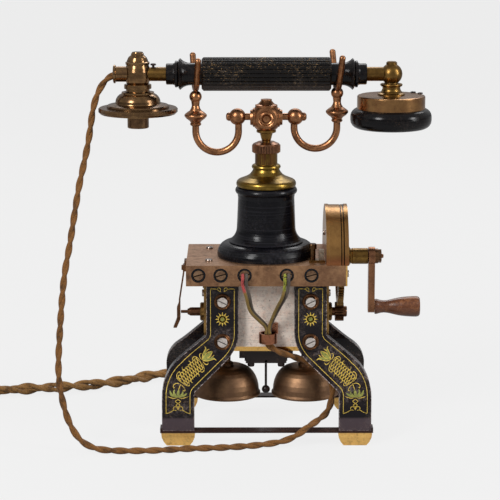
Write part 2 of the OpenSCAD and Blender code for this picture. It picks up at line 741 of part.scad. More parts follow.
module ringer_bracket() {
    pivot_hole = pivot_r + run_gap;
    lower_bar_x = 16.7;
    lower_bar_front = 13;
    bolt_x = 12.4;
    color(black_iron) difference() {
        union() {
            translate([-lower_bar_x, -lower_bar_front, bracket_z - 4.3]) cube([2 * lower_bar_x, 5, 4.3 + cut]);
            both_sides() translate([bolt_x, 2.5 - lower_bar_front, bracket_z - 4.3 + cut]) mirror([0, 0, 1])
                slotted_head(2.9, 4, 20);
            translate([-bracket_x, -bracket_front, bracket_z])
                cube([2 * bracket_x, bracket_front + bracket_rear, bracket_t]);
            for (y = [-clapper_front - 3, clapper_rear + 0.5])
                translate([-3, y, pivot_z - 2.6]) cube([6, 2.5, bracket_z - pivot_z + 2.6 + cut]);
        }
        translate([0, -60, pivot_z]) rotate([-90, 0, 0]) cylinder(r = pivot_hole, h = 120);
        both_sides() translate([coil_x, coil_y, bracket_z - cut])
            cylinder(r = core_r + run_gap, h = bracket_t + 2 * cut);
    }
}

// Two coils on iron cores, joined over the top by a bar
module ringer_coils() {
    top = floor_z + coil_h;
    both_sides() translate([coil_x, coil_y, 0]) {
        color(iron) translate([0, 0, bracket_z]) cylinder(r = core_r, h = top - bracket_z);
        color(copper) turned([[core_r, floor_z], [coil_r, floor_z], [coil_r, floor_z + 1.6],
            [coil_r - 1, floor_z + 1.6], [coil_r - 1, top - 1.6], [coil_r, top - 1.6], [coil_r, top],
            [core_r, top]]);
    }
    color(iron) translate([-coil_x - 7, coil_y - 6, top]) cube([2 * coil_x + 14, 12, 4]);
}

// Bell: an outer curve, and an inner one that lies a wall's thickness inside it
module gong() {
    crown = gong_r * 0.42;
    side_r = gong_r - crown - 1.2;
    turned(concat([[post_r + run_gap, gong_top - gong_wall], [post_r + run_gap, gong_top], [crown, gong_top]],
        [for (i = [1:8]) let (a = 90 - 90 * i / 8)
            [crown + side_r * cos(a), gong_z + 3 + (gong_h - 3) * sin(a)]],
        [[gong_r, gong_z + 1.4], [gong_r, gong_z], [gong_r - gong_wall, gong_z]],
        [for (i = [8:-1:1]) let (a = 90 - 90 * i / 8)
            [crown + (side_r - gong_wall + 0.6) * cos(a), gong_z + 3 + (gong_h - 3 - gong_wall) * sin(a)]],
        [[crown, gong_top - gong_wall]]));
}

module left_gong() {
    color(bell_bronze) translate([-gong_x, 0, 0]) gong();
}

module right_gong() {
    color(bell_bronze) translate([gong_x, 0, 0]) gong();
}

module gong_posts() {
    color(brass) both_sides() translate([gong_x, 0, 0]) {
        translate([0, 0, gong_top - gong_wall - 4]) cylinder(r = post_r, h = floor_z + floor_t - gong_top + gong_wall + 4);
        translate([0, 0, gong_top + run_gap]) turned([[post_r, 0], [5.4, 0], [5.4, 2], [4.4, 3.2], [post_r, 3.2]]);
        translate([0, 0, gong_top - gong_wall - 3]) cylinder(r = 5.4, h = 3 - run_gap, $fn = 6);
    }
}

module clapper() {
    color(black_iron) {
        translate([-clapper_x, -clapper_front, clapper_z])
            cube([2 * clapper_x, clapper_front + clapper_rear, clapper_t]);
        translate([0, -clapper_front - 3.2, pivot_z]) rotate([-90, 0, 0])
            cylinder(r = pivot_r, h = clapper_front + clapper_rear + 6.4);
    }
    color(bell_bronze) {
        translate([0, 0, ball_z]) cylinder(r = rod_r, h = clapper_z + cut - ball_z);
        translate([0, 0, ball_z]) sphere(r = ball_r);
    }
}

module armature_core() {
    slot = 8.5;
    winding_r = armature_r - 1;
    color(iron) along_x(-armature_half, armature_z) difference() {
        cylinder(r = armature_r, h = 2 * armature_half);
        translate([0, 0, -cut]) cylinder(r = shaft_r + run_gap, h = 2 * (armature_half + cut));
        for (y = [-armature_r - cut, 5.5]) translate([-slot, y, -cut])
            cube([2 * slot, armature_r + cut - 5.5, 2 * (armature_half + cut)]);
    }
    color(copper) along_x(-armature_half + 0.5, armature_z) for (y = [-winding_r, 5.5 + free_gap])
        intersection() {
            cylinder(r = winding_r, h = 2 * armature_half - 1);
            translate([free_gap - slot, y, 0])
                cube([2 * (slot - free_gap), winding_r - 5.5 - free_gap, 2 * armature_half - 1]);
        }
}

// Armature shaft with the pinion, a slotted boss outside it and a thin contact tip at the other end
module pinion_shaft() {
    color(bell_bronze) {
        along_x(-tip_x, armature_z) turned([[0, 0], [1.3, 0.3], [1.3, 5.5], [2.2, 5.5], [shaft_r, 8.1],
            [shaft_r, tip_x + pinion_x + cut], [0, tip_x + pinion_x + cut]]);
        translate([0, 0, armature_z]) slab_x(pinion_x, pinion_face)
            polygon(gear_points(pinion_teeth, 90 + 180 / pinion_teeth));
        along_x(pinion_x + pinion_face, armature_z)
            slotted_head(4.4, pinion_end - pinion_x - pinion_face, 60);
    }
}

module crank_gear() {
    rim_in = gear_module * wheel_teeth / 2 - dedendum - 4;
    color(brass) translate([0, 0, crank_z]) slab_x(wheel_x, wheel_face) difference() {
        union() {
            difference() {
                polygon(gear_points(wheel_teeth, -90));
                circle(r = rim_in);
            }
            circle(r = 9);
            for (i = [0:4]) rotate(90 + 72 * i) translate([0, -2.6]) square([rim_in + 1, 5.2]);
        }
        circle(r = shaft_r + run_gap);
    }
}

module crank_shaft() {
    start = wheel_x - 0.4;
    color(steel) along_x(start, crank_z) turned([[0, 0], [shaft_r, 0], [shaft_r, shaft_end - start],
        [1.7, shaft_end - start], [1.7, shaft_end - start + 1.4], [1.2, shaft_end - start + 1.8],
        [0, shaft_end - start + 1.8]]);
}

module crank_arm() {
    end_r = 5;
    color(brass) {
        slab_x(arm_x, arm_t) translate([0, crank_z]) difference() {
            union() {
                circle(r = arm_r);
                translate([0, -arm_len]) circle(r = end_r);
                translate([-end_r, -arm_len]) square([2 * end_r, arm_len]);
            }
            circle(r = shaft_r + run_gap);
        }
        along_x(arm_x + arm_t - cut, grip_z) cylinder(r = spindle_r, h = spindle_len + cut);
    }
}

module crank_nut() {
    color(steel) along_x(arm_x + arm_t, crank_z) difference() {
        union() {
            cylinder(r = 6.1, h = washer_t);
            translate([0, 0, washer_t]) cylinder(r = 5.6, h = nut_t, $fn = 6);
        }
        translate([0, 0, -cut]) cylinder(r = shaft_r + run_gap, h = washer_t + nut_t + 2 * cut);
    }
}

// Wooden grip that turns on its spindle
module crank_grip() {
    shape = spline([[grip_r * 0.66, grip_len * 0.1], [grip_r * 0.59, grip_len * 0.2],
        [grip_r * 0.65, grip_len * 0.32], [grip_r * 0.79, grip_len * 0.45], [grip_r * 0.91, grip_len * 0.6],
        [grip_r * 0.98, grip_len * 0.78], [grip_r, grip_len * 0.92]], 2);
    color(wood) along_x(grip_x, grip_z) difference() {
        turned(concat([[0, 0], [grip_r * 0.72, 0], [grip_r * 0.74, grip_len * 0.04]], shape,
            [[grip_r * 0.95, grip_len * 0.975], [grip_r * 0.82, grip_len], [0, grip_len]]));
        translate([0, 0, -cut]) cylinder(r = spindle_r + run_gap, h = spindle_len - free_gap + 0.5 + cut);
    }
}

// Stem of the cradle: its shoulder stands on the spring and stops against the neck above
module cradle_plunger() {
    color(brass) turned([[0, column_floor + 13], [stem_r, column_floor + 13], [stem_r, shoulder_z],
        [shoulder_r, shoulder_z], [shoulder_r, shoulder_z + shoulder_t], [stem_r, shoulder_z + shoulder_t],
        [stem_r, collar_top + 0.6], [3.8, collar_top + 1.4], [5.2, block_bottom - 3.4],
        [6.6, block_bottom - 3], [7.9, block_bottom - 2.4], [7.9, block_bottom - 0.9],
        [7.2, block_bottom], [0, block_bottom]]);
}

module cradle_block() {
    half = block_w / 2;
    top = block_bottom + block_w;
    color(copper) {
        intersection() {
            translate([-half, -half, block_bottom]) cube(block_w);
            translate([0, 0, block_z]) sphere(r = half * 1.32);
        }
        turned([[0, top - cut], [half - 0.4, top - cut], [half - 0.4, top + 0.8], [half - 2.4, top + 1.4],
            [half - 4, top + 3], [4.4, top + 4.2], [4.4, top + 5.4], [0, top + 5.4]]);
        both_sides() along_x(0, block_z) turned([[0, 0], [boss_r, 0], [boss_r, half + 1.2],
            [boss_r - 1.2, half + 1.6], [boss_r - 1.8, boss_x], [0, boss_x]]);
        front_and_rear() translate([0, 0, block_z]) facing_front() turned([[0, half - cut],
            [8.1, half - cut], [8.1, half + 0.8], [6.4, half + 0.8], [5.6, half + 0.3], [4.4, half + 1.2],
            [3.2, half + 0.6], [2.6, half + 1.9], [0, half + 2.2]]);
    }
}

// A hook of bent tube on the block's side, up to the knot below its fork
module hook(drop) {
    low = hook_low_z - drop;
    disc = disc_z - drop;
    knot = knot_z - drop;
    along_x(boss_x, hook_z) cylinder(r = 2.8, h = hook_in_x - boss_x);
    translate([hook_in_x + 0.9, 0, hook_z]) sphere(r = hook_ball_r);
    along_x(hook_in_x, hook_z) turned([[0, 0], [3.4, 0], [3.4, 8.2], [2.8, 9.4], [1.6, 10.1], [0, 10.1]]);
    translate([hook_in_x, 0, low - lap]) cylinder(r = hook_r - fade, h = hook_z - low + lap);
    translate([hook_in_x + hook_bend, 0, low]) rotate([90, 0, 0]) rotate([0, 0, 180])
        rotate_extrude(angle = 180) translate([hook_bend, 0]) circle(r = hook_r);
    translate([hook_x, 0, 0]) {
        translate([0, 0, low - lap]) cylinder(r = hook_r - fade, h = knot - low + lap);
        turned([[0, disc - 8.4], [3.7, disc - 8.4], [4.5, disc - 7.4], [4.5, disc - 6.6], [3.9, disc - 6],
            [4.9, disc - 4.4], [7.4, disc - 2.6], [8.9, disc - 0.9], [9.1, disc], [8.9, disc + 0.8],
            [7.2, disc + 2.3], [4.8, disc + 3.9], [3.6, disc + 5.9], [3.1, disc + 8], [3.6, knot - 3],
            [0, knot - 3]]);
        translate([0, 0, knot]) sphere(r = knot_r);
    }
}

// The two prongs that hold a neck of the handset between them
module fork(drop) {
    reach = prong_reach - drop;
    rotate([90, 0, 90]) {
        rotate([0, 0, prong_angle - 180]) rotate_extrude(angle = 180 - 2 * prong_angle)
            translate([prong_bend, 0]) circle(r = prong_r);
        for (side = [0, 1]) mirror([side, 0, 0])
            translate([prong_bend * cos(prong_angle), -prong_bend * sin(prong_angle), 0])
            rotate([0, 0, 90 - prong_angle]) rotate([0, 90, 0]) {
                translate([0, 0, -lap]) cylinder(r = prong_r - fade, h = reach + lap);
                translate([0, 0, reach]) sphere(r = prong_r + fade);
            }
    }
}

module left_hook() {
    color(copper) {
        mirror([1, 0, 0]) hook(left_drop);
        translate([-hook_x, 0, handset_z]) rotate([0, 0, fork_yaw]) fork(left_drop);
    }
}

module right_hook() {
    color(copper) {
        hook(0);
        translate([hook_x, 0, handset_z]) rotate([0, 0, fork_yaw]) fork(0);
    }
}

// Reeded ebonite handle, with its end edges turned off
module handle() {
    reeds = 24;
    reed_r = 1.75;
    color(ebonite) intersection() {
        translate([0, 0, handset_z]) slab_x(-handle_half, 2 * handle_half) difference() {
            union() {
                circle(r = handle_r - 1);
                for (i = [0:reeds - 1]) rotate(360 * i / reeds) translate([handle_r - reed_r, 0])
                    circle(r = reed_r);
            }
            circle(r = tube_r + run_gap);
        }
        along_x(-handle_half, handset_z) turned([[0, 0], [handle_r - 1.6, 0], [handle_r, 1.6],
            [handle_r, 2 * handle_half - 1.6], [handle_r - 1.6, 2 * handle_half], [0, 2 * handle_half]]);
    }
}

// Neck, bead and collar at each end of the handle
module handle_ends() {
    color(ebonite) both_sides() along_x(handle_half, handset_z) turned(concat(
        [[tube_r + run_gap, 0], [neck_r, 0]],
        arc(neck_r + flare_r, neck_len, flare_r, 180, 132, 5),
        [[ridge_r, ridge_x + 0.5], [11.4, ridge_x + 1.5], [9.8, ridge_x + 1.8], [10.7, ridge_x + 2.6],
            [10.7, ridge_x + 4.2], [9, ridge_x + 4.8], [8.5, ridge_x + 6], [8.5, collar_len - 0.6],
            [7.9, collar_len], [tube_r + run_gap, collar_len]]));
}

module handset_tube() {
    color(brass) along_x(-tube_out_l, handset_z) difference() {
        cylinder(r = tube_r, h = tube_out_l + tube_out_r);
        translate([0, 0, -cut]) cylinder(r = tube_r - 1, h = tube_out_l + tube_out_r + 2 * cut);
    }
}

// Barrel above the transmitter, with sockets for the tube and for the cord
module transmitter_knuckle() {
    color(brass) difference() {
        union() {
            translate([-transmitter_x, 0, handset_z]) rotate([0, 0, 35]) turned([[0, -8.2], [8.6, -8.2], [9.5, -6.2],
                [barrel_r, -2.6], [barrel_r, 2], [9.6, 5.4], [8.9, 7.4], [9.6, 7.9], [9.7, 9.6], [8.6, 10.2],
                [8.4, 11.2], [7.4, 13.4], [5.7, 15], [5.2, 15.2], [5.2, 16.4], [4.6, 17], [4.2, 17.8], [0, 17.8]]);
            along_x(-stub_x, handset_z) turned([[0, 0], [stub_r, 0], [stub_r + 1.2, 0.6], [stub_r + 1.2, 1.8],
                [stub_r, 2.4], [stub_r, stub_x - transmitter_x], [0, stub_x - transmitter_x]]);
        }
        along_x(-tube_out_l - free_gap, handset_z) cylinder(r = tube_r + run_gap, h = barrel_r);
        along_x(-stub_x - cut, handset_z - 1) cylinder(r = handset_cord_d / 2 + 0.4, h = 9);
    }
}

// Stepped transmitter housing with a chamber for the works, open to the mouth tube
module transmitter_cup() {
    floor_top = disc_bottom + 1.6;
    color(brass) translate([-transmitter_x, 0, 0]) turned(concat(
        [[mouth_in_r, disc_bottom], [28.4, disc_bottom], [28.8, disc_bottom - 0.8], [30.4, disc_bottom - 0.8],
            [30.8, disc_bottom], [disc_r - 0.6, disc_bottom + 0.2], [disc_r, disc_bottom + 0.9],
            [disc_r, disc_top - 0.9], [disc_r - 0.9, disc_top], [25.2, disc_top], [25.2, disc_top + 1.4],
            [24.4, disc_top + 2.2], [18.4, disc_top + 3.6]],
        arc(10.6, disc_top + 4.2, 7.6, 0, 66, 5),
        [[13.1, cup_top - 7.4], [13.1, cup_top - 6.2], [9.5, cup_top - 5.4], [9.5, cup_top - 3.9],
            [11, cup_top - 3.3], [11, cup_top - 0.4], [10.6, cup_top], [0, cup_top], [0, disc_top + 7],
            [13, disc_top + 7], [15, disc_top + 0.6], [21, disc_top + 0.6], [21, floor_top],
            [mouth_in_r, floor_top]]));
}

// Diaphragm and the carbon capsule behind it
module transmitter_works() {
    color(steel) translate([-transmitter_x, 0, disc_bottom + 1.6 + free_gap]) {
        cylinder(r = 20.6, h = 0.6);
        translate([0, 0, 0.6]) turned([[0, 0], [9, 0], [12, 3], [12, disc_t + 4.4], [0, disc_t + 4.4]]);
    }
}

module mouth_tube() {
    color(brass) translate([-transmitter_x, 0, 0]) turned(concat([[mouth_in_r, mouth_bottom]],
        [[mouth_r - 0.4, mouth_bottom], [mouth_r, mouth_bottom + 0.5], [mouth_r, disc_bottom - 2.2],
            [11.4, disc_bottom - 1.8], [11.4, disc_bottom], [mouth_in_r, disc_bottom]]));
}

module receiver_knuckle() {
    ball_r = 8.7;
    color(brass) difference() {
        translate([receiver_x, 0, handset_z]) {
            sphere(r = ball_r);
            turned([[0, 0], [4.4, 0], [4.4, 9.2], [3.4, 10.1], [0, 10.1]]);
            turned([[0, 0], [5, 0], [5.6, -7.4], [8.6, -7.8], [9, -8.6], [8.6, -9.6], [7.2, -10.2], [7.2, -12],
                [8, -13.6], [9.4, -14.9], [11, -15.6], [11, can_top - handset_z], [0, can_top - handset_z]]);
        }
        along_x(receiver_x - 20, handset_z) cylinder(r = tube_r + run_gap, h = 20 - receiver_x + tube_out_r + free_gap);
    }
}

// Brass can of the receiver, open below
module receiver_can() {
    color(brass) translate([receiver_x, 0, 0]) turned(concat(
        [[0, can_top], [11, can_top], [can_r - 1.2, can_top - 0.6], [can_r - 0.4, can_top - 0.9],
            [can_r, can_top - 1.6], [can_r, can_bottom], [can_r - can_wall, can_bottom],
            [can_r - can_wall, can_top - 2.6], [can_r - 3, can_top - can_wall - 0.6],
            [0, can_top - can_wall - 0.6]]));
}

// Diaphragm on the ear cap's ledge, and the magnet cup under the can's top
module receiver_works() {
    color(steel) translate([receiver_x, 0, 0]) {
        translate([0, 0, cap_bottom + 6.9]) cylinder(r = 24.6, h = 0.5);
        translate([0, 0, cap_bottom + 8.4])
            cylinder(r = 19, h = can_top - can_wall - 0.6 - free_gap - cap_bottom - 8.4);
    }
}

// Black ear cap: a thick rounded ring round the can, with a dished face and a sound hole
module ear_cap() {
    ledge_r = can_r - 2.4;
    round_r = 6.6;
    color(ebonite) translate([receiver_x, 0, 0]) turned(concat(
        [[6, cap_bottom + 3.4], [14, cap_bottom + 2.6], [21, cap_bottom + 0.9], [25, cap_bottom]],
        arc(cap_r - round_r, cap_bottom + round_r, round_r, 270, 360, 5),
        arc(cap_r - round_r, cap_top_z - round_r, round_r, 0, 66, 5),
        [[can_r + run_gap, cap_top_z], [can_r + run_gap, can_bottom - run_gap],
            [ledge_r, can_bottom - run_gap], [ledge_r, cap_bottom + 6.6], [6, cap_bottom + 6.6]]));
}

// A cord clamp whose back lies on a face, out is +1 behind the object and -1 in front of it
module cord_clamp(at, out, lug_x) {
    face_y = at[1] - out * clamp_r;
    lug_t = 2.6;
    translate(at) difference() {
        cylinder(r = clamp_r, h = clamp_h);
        translate([0, 0, -cut]) cylinder(r = clamp_in_r, h = clamp_h + 2 * cut);
    }
    translate([lug_x - 3.7, out > 0 ? face_y : face_y - lug_t, at[2] + 6]) cube([7.4, lug_t, 9]);
    translate([lug_x, face_y + out * lug_t, at[2] + 11.6]) rotate([out > 0 ? -90 : 90, 0, 0])
        slotted_head(3, 1.8, 30);
}

module cord_clamps() {
    color(copper) {
        cord_clamp(front_clamp, -1, front_clamp[0] + 4.5);
        cord_clamp(rear_clamp, 1, rear_clamp[0]);
    }
}

module handset_cord() {
    color(cord_tan) tube_along(spline(handset_route, 2), handset_cord_d / 2, 8, [0, 1, 0]);
}

// One wire from a clamp's mouth to the face of a terminal, a little to one side of the straight way
function wire_path(start, x, out, side) = let (
    share = x < 0 ? 0.65 : 0.4,
    y = plate_d / 2 + wire_d / 2 + 0.4,
    middle = [start,
        start + [0, 0, 6],
        [start[0] * (1 - share) + x * share, out * (abs(start[1]) * (1 - share) + y * share),
            start[2] * 0.6 + terminal_z * 0.4],
        [start[0] * 0.15 + x * 0.85, out * y, plate_z - 8],
        [x, out * (y + 0.6), terminal_z - 7.5],
        [x, out * (y + 2.4), terminal_z - 2.6],
        [x, out * (y + 1.6), terminal_z],
        [x, out * (plate_d / 2 - 0.2), terminal_z + 0.4]],
    smooth = spline(middle, 2),
    last = len(smooth) - 1)
    [for (i = [0:last]) let (turn = 90 * min(1, 1.7 * i / last))
        smooth[i] + side * 1.5 * [sin(turn), cos(turn), 0]];

module terminal_wires() {
    top = clamp_h - 0.6;
    for (side = [-1, 1]) color(side < 0 ? cord_tan : cord_dark) {
        for (k = [0, 1]) tube_along(wire_path(front_clamp + [k == 0 ? -1.6 : 1.6, 0, top],
            terminal_at[k + 2], -1, side), wire_d / 2, 6, [1, 0, 0]);
        tube_along(wire_path(rear_clamp + [0, 0, top - 1], rear_terminal_at[side < 0 ? 0 : 1], 1, side),
            wire_d / 2, 6, [1, 0, 0]);
    }
}

module line_cord() {
    color(cord_dark) tube_along(spline(line_route, 2), line_cord_d / 2, 8, [0, 1, 0]);
}

// Coil: a spiral inwards on the table, a climb over half a turn, and a spiral outwards on top
function coil_radius(t) = coil_start_r - coil_pitch * (coil_back - abs(coil_back - t));
function coil_height(t) = floor_cord + coil_layer * max(0, min(1, 2 * (t - coil_back) + 0.5));
function coil_point(t) = [coil_middle[0] + coil_radius(t) * cos(90 + 360 * t),
    coil_middle[1] + coil_radius(t) * sin(90 + 360 * t), coil_height(t)];
coil_path = concat([for (i = [0:coil_turns * 24]) coil_point(i / 24)], line_tail);
coil_gap = min([for (i = [0:len(coil_path) - 1]) for (j = [i + 12:1:len(coil_path) - 1])
    norm(coil_path[i] - coil_path[j])]) - line_cord_d;

module line_cord_coil() {
    color(cord_dark) tube_along(coil_path, floor_cord, 6, [0, 1, 0]);
}

// Spade tags on the four strands at the cord's far end
module cord_tags() {
    end = line_tail[len(line_tail) - 1];
    color(bright_brass) for (i = [0:3]) translate(end + [-free_gap, 0, 0]) rotate([45 + 90 * i, 0, 0])
        translate([0, 2.2, 0]) rotate([0, -90, 8]) {
            cylinder(r = 1.5, h = 9);
            translate([-0.5, 0, 8]) rotate([0, 90, 0]) rotate([0, 0, 180]) linear_extrude(1) difference() {
                union() {
                    translate([0, -1.2]) square([5, 2.4]);
                    translate([6, 0]) circle(r = 2.4);
                }
                translate([6, 0]) circle(r = 1);
                translate([6, -1]) square([4, 2]);
            }
        }
}

echo(least_gap_in_the_coil = coil_gap);

base_plate();
end_strip();
terminal_insulators();
terminal_screws();
small_screws();
column();
column_cap();
collar_nut();
hook_spring();
switch_contacts();
gear_case();
crank_bearing();
contact_bracket();
left_magnet();
right_magnet();
magnet_screws();
screw_cups();
front_pole_piece();
rear_pole_piece();
generator_floor();
bearing_plates();
armature_bushes();
shunt_spring();
feet();
tie_straps();
ringer_bracket();
ringer_coils();
left_gong();
right_gong();
gong_posts();
cord_clamps();
terminal_wires();
handset_cord();
line_cord();
line_cord_coil();
cord_tags();
clapper();
armature_core();
pinion_shaft();
crank_gear();
crank_shaft();
crank_arm();
crank_nut();
crank_grip();
cradle_plunger();
cradle_block();
left_hook();
right_hook();
handle();
handle_ends();
handset_tube();
transmitter_knuckle();
transmitter_cup();
transmitter_works();
mouth_tube();
receiver_knuckle();
receiver_can();
receiver_works();
ear_cap();
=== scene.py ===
import math

import bmesh
import bpy
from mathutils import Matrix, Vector


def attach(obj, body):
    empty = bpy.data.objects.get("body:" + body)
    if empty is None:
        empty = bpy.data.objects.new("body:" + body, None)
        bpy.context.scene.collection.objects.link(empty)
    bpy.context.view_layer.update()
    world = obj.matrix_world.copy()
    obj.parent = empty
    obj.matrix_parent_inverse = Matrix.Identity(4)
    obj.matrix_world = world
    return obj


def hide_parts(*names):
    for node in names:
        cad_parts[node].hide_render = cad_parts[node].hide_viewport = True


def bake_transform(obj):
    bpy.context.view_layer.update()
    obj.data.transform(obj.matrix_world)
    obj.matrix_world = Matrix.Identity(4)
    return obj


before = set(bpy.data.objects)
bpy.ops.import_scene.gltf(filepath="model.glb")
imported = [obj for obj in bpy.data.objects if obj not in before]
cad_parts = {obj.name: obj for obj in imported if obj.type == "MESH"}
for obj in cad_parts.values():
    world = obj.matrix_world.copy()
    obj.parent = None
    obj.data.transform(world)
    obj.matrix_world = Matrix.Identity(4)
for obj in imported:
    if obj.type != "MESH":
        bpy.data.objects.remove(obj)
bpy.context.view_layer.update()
scene = bpy.context.scene
scene.view_settings.view_transform = "Standard"


# The camera looks at the front of the telephone from a little above, with a long lens.
# The column's middle line stands a little right of the picture's middle.
def add_object(name, data):
    item = bpy.data.objects.new(name, data)
    scene.collection.objects.link(item)
    return item


camera_lens = bpy.data.cameras.new("camera")
camera_lens.sensor_width = 36
camera_lens.lens = 143.8
camera = add_object("camera", camera_lens)
camera.location = (-0.02, -1.6, 0.478)
camera.rotation_euler = (math.radians(78.376), 0, math.radians(-0.245))
scene.camera = camera


# A photographer's table: one pale sheet that runs far behind the telephone, under a pale room.
# The sheet is matt card. It keeps its own paleness for the camera and still takes the shadow.
def set_inputs(node, values):
    """Sets each input, by name or number, to a plain value, or links it from a socket."""
    for key, value in values.items():
        if isinstance(value, bpy.types.NodeSocket):
            node.id_data.links.new(value, node.inputs[key])
        else:
            node.inputs[key].default_value = value


def add_node(tree, kind, inputs=None, **settings):
    node = tree.nodes.new(kind)
    for name, value in settings.items():
        setattr(node, name, value)
    set_inputs(node, inputs or {})
    return node


def sum_of(tree, operation, *values):
    """One Math node on sockets or plain numbers."""
    return add_node(tree, "ShaderNodeMath", dict(enumerate(values)), operation=operation).outputs[0]


def times(tree, a, b):
    return sum_of(tree, "MULTIPLY", a, b)


def plus(tree, a, b):
    return sum_of(tree, "ADD", a, b)


half = 15.0
table = bpy.data.meshes.new("table")
corners = [(-half, -half, 0), (half, -half, 0), (half, half, 0), (-half, half, 0)]
table.from_pydata(corners, [], [(0, 1, 2, 3)])
table_object = add_object("table", table)
card = bpy.data.materials.new("card")
card.use_nodes = True
tree = card.node_tree
tree.nodes.clear()
matt = add_node(tree, "ShaderNodeBsdfDiffuse", {"Color": (0.36, 0.36, 0.36, 1)})
glow = add_node(tree, "ShaderNodeEmission", {"Color": (0.95, 0.95, 0.95, 1)})
ray = add_node(tree, "ShaderNodeLightPath").outputs
seen = sum_of(tree, "MAXIMUM", ray["Is Camera Ray"], ray["Is Transmission Ray"])
mirrored = times(tree, ray["Is Glossy Ray"], 0.28)
glow_share = times(tree, sum_of(tree, "MAXIMUM", seen, mirrored), 0.86)
mixed = add_node(tree, "ShaderNodeMixShader", {0: glow_share, 1: matt.outputs[0], 2: glow.outputs[0]})
add_node(tree, "ShaderNodeOutputMaterial", {"Surface": mixed.outputs[0]})
table.materials.append(card)

world = bpy.data.worlds.new("room")
scene.world = world
world.use_nodes = True
tree = world.node_tree
tree.nodes.clear()
heading = add_node(tree, "ShaderNodeTexCoord").outputs["Generated"]
walls = add_node(tree, "ShaderNodeValToRGB", {
    "Fac": add_node(tree, "ShaderNodeSeparateXYZ", {0: heading}).outputs["Z"]})
floor_stop, top_stop = walls.color_ramp.elements
floor_stop.position, floor_stop.color = 0.0, (0.1, 0.1, 0.105, 1)
top_stop.position, top_stop.color = 0.75, (0.46, 0.46, 0.46, 1)
walls.color_ramp.elements.new(0.2).color = (0.38, 0.38, 0.385, 1)
room = add_node(tree, "ShaderNodeBackground", {"Color": walls.outputs["Color"]})
add_node(tree, "ShaderNodeOutputWorld", {"Surface": room.outputs[0]})


def soft_box(name, place, aim, width, height, power):
    lamp = bpy.data.lights.new(name, "AREA")
    lamp.shape = "RECTANGLE"
    lamp.size, lamp.size_y = width, height
    lamp.energy = power
    holder = add_object(name, lamp)
    holder.location = place
    holder.rotation_euler = (Vector(aim) - Vector(place)).to_track_quat("-Z", "Y").to_euler()


soft_box("main_lamp", (-0.95, -1.15, 1.15), (0, 0, 0.17), width=0.45, height=0.9, power=21)
soft_box("side_lamp", (1.25, -0.55, 0.75), (0, 0, 0.17), width=0.3, height=0.9, power=11)
soft_box("back_lamp", (0.2, 1.2, 1.3), (0, 0, 0.2), width=1.2, height=0.5, power=8)


# Handset cord: two braided cotton strands, twisted round each other, limp from long use. It leaves the
# stub of the transmitter, hangs down to the table, lies in front of the feet and rises to the front clamp.
def smooth_route(points, steps):
    """A curve through the points, with so many steps from each to the next."""
    points = [Vector(p) for p in points]
    line = []
    for i in range(len(points) - 1):
        a = points[max(i - 1, 0)]
        b, c = points[i], points[i + 1]
        d = points[min(i + 2, len(points) - 1)]
        for k in range(steps):
            t = k / steps
            line.append(0.5 * (2 * b + (c - a) * t + (2 * a - 5 * b + 4 * c - d) * t ** 2
                               + (3 * b - a - 3 * c + d) * t ** 3))
    return line + [points[-1]]


def in_metres(points):
    return [(x / 1000, y / 1000, z / 1000) for x, y, z in points]


def new_group(name, kind, inputs, outputs):
    """A node group with named inputs and outputs: the tree, what comes into it, and its output node."""
    group = bpy.data.node_groups.new(name, kind)
    for label, socket_kind, value in inputs:
        socket = group.interface.new_socket(label, in_out="INPUT", socket_type="NodeSocket" + socket_kind)
        if value is not None:
            socket.default_value = value
    for label, socket_kind in outputs:
        group.interface.new_socket(label, in_out="OUTPUT", socket_type="NodeSocket" + socket_kind)
    return group, add_node(group, "NodeGroupInput").outputs, add_node(group, "NodeGroupOutput")


def end_tree(tree, geometry, material, out):
    """Ends a geometry tree: its instances made real, in one material."""
    real = add_node(tree, "GeometryNodeRealizeInstances", {0: geometry})
    dressed = add_node(tree, "GeometryNodeSetMaterial", {"Geometry": real.outputs[0], "Material": material})
    set_inputs(out, {"Geometry": dressed.outputs[0]})


def vector_sum(tree, operation, a, b=(0, 0, 0), scale=1.0):
    """One Vector Math node on sockets or plain tuples, and for the scale a number."""
    node = add_node(tree, "ShaderNodeVectorMath", {0: a, 1: b, -1: scale}, operation=operation)
    return node.outputs["Value" if operation == "DOT_PRODUCT" else "Vector"]


plying, into, out = new_group(
    "plied_cord", "GeometryNodeTree",
    [("Geometry", "Geometry", None), ("Ring spacing", "Float", 0.001), ("Groups", "Int", 1),
     ("Group radius", "Float", 0.0), ("Group pitch", "Float", 0.05), ("Strands in a group", "Int", 2),
     ("Strand offset", "Float", 0.001), ("Strand pitch", "Float", 0.027), ("Strand radius", "Float", 0.001),
     ("Sides", "Int", 8), ("Material", "Material", None)],
    [("Geometry", "Geometry")])
even = add_node(plying, "GeometryNodeResampleCurve", {
    "Curve": into["Geometry"], "Length": into["Ring spacing"]}, mode="LENGTH")
kept = add_node(plying, "GeometryNodeCaptureAttribute", {0: even.outputs[0]}, domain="POINT")
for kind, label in (("VECTOR", "side"), ("VECTOR", "ahead"), ("FLOAT", "run")):
    kept.capture_items.new(kind, label)
set_inputs(kept, {1: add_node(plying, "GeometryNodeInputNormal").outputs[0],
                  2: add_node(plying, "GeometryNodeInputTangent").outputs[0],
                  3: add_node(plying, "GeometryNodeSplineParameter").outputs["Length"]})
same_line, side, ahead, run = kept.outputs[:4]
across = vector_sum(plying, "CROSS_PRODUCT", ahead, side)
strands = times(plying, into["Groups"], into["Strands in a group"])
copies = add_node(plying, "GeometryNodeDuplicateElements", {"Geometry": same_line, "Amount": strands},
                  domain="SPLINE")
number = copies.outputs["Duplicate Index"]
group_number = sum_of(plying, "MODULO", number, into["Groups"])
strand_number = sum_of(plying, "FLOOR", sum_of(plying, "DIVIDE", number, into["Groups"]))


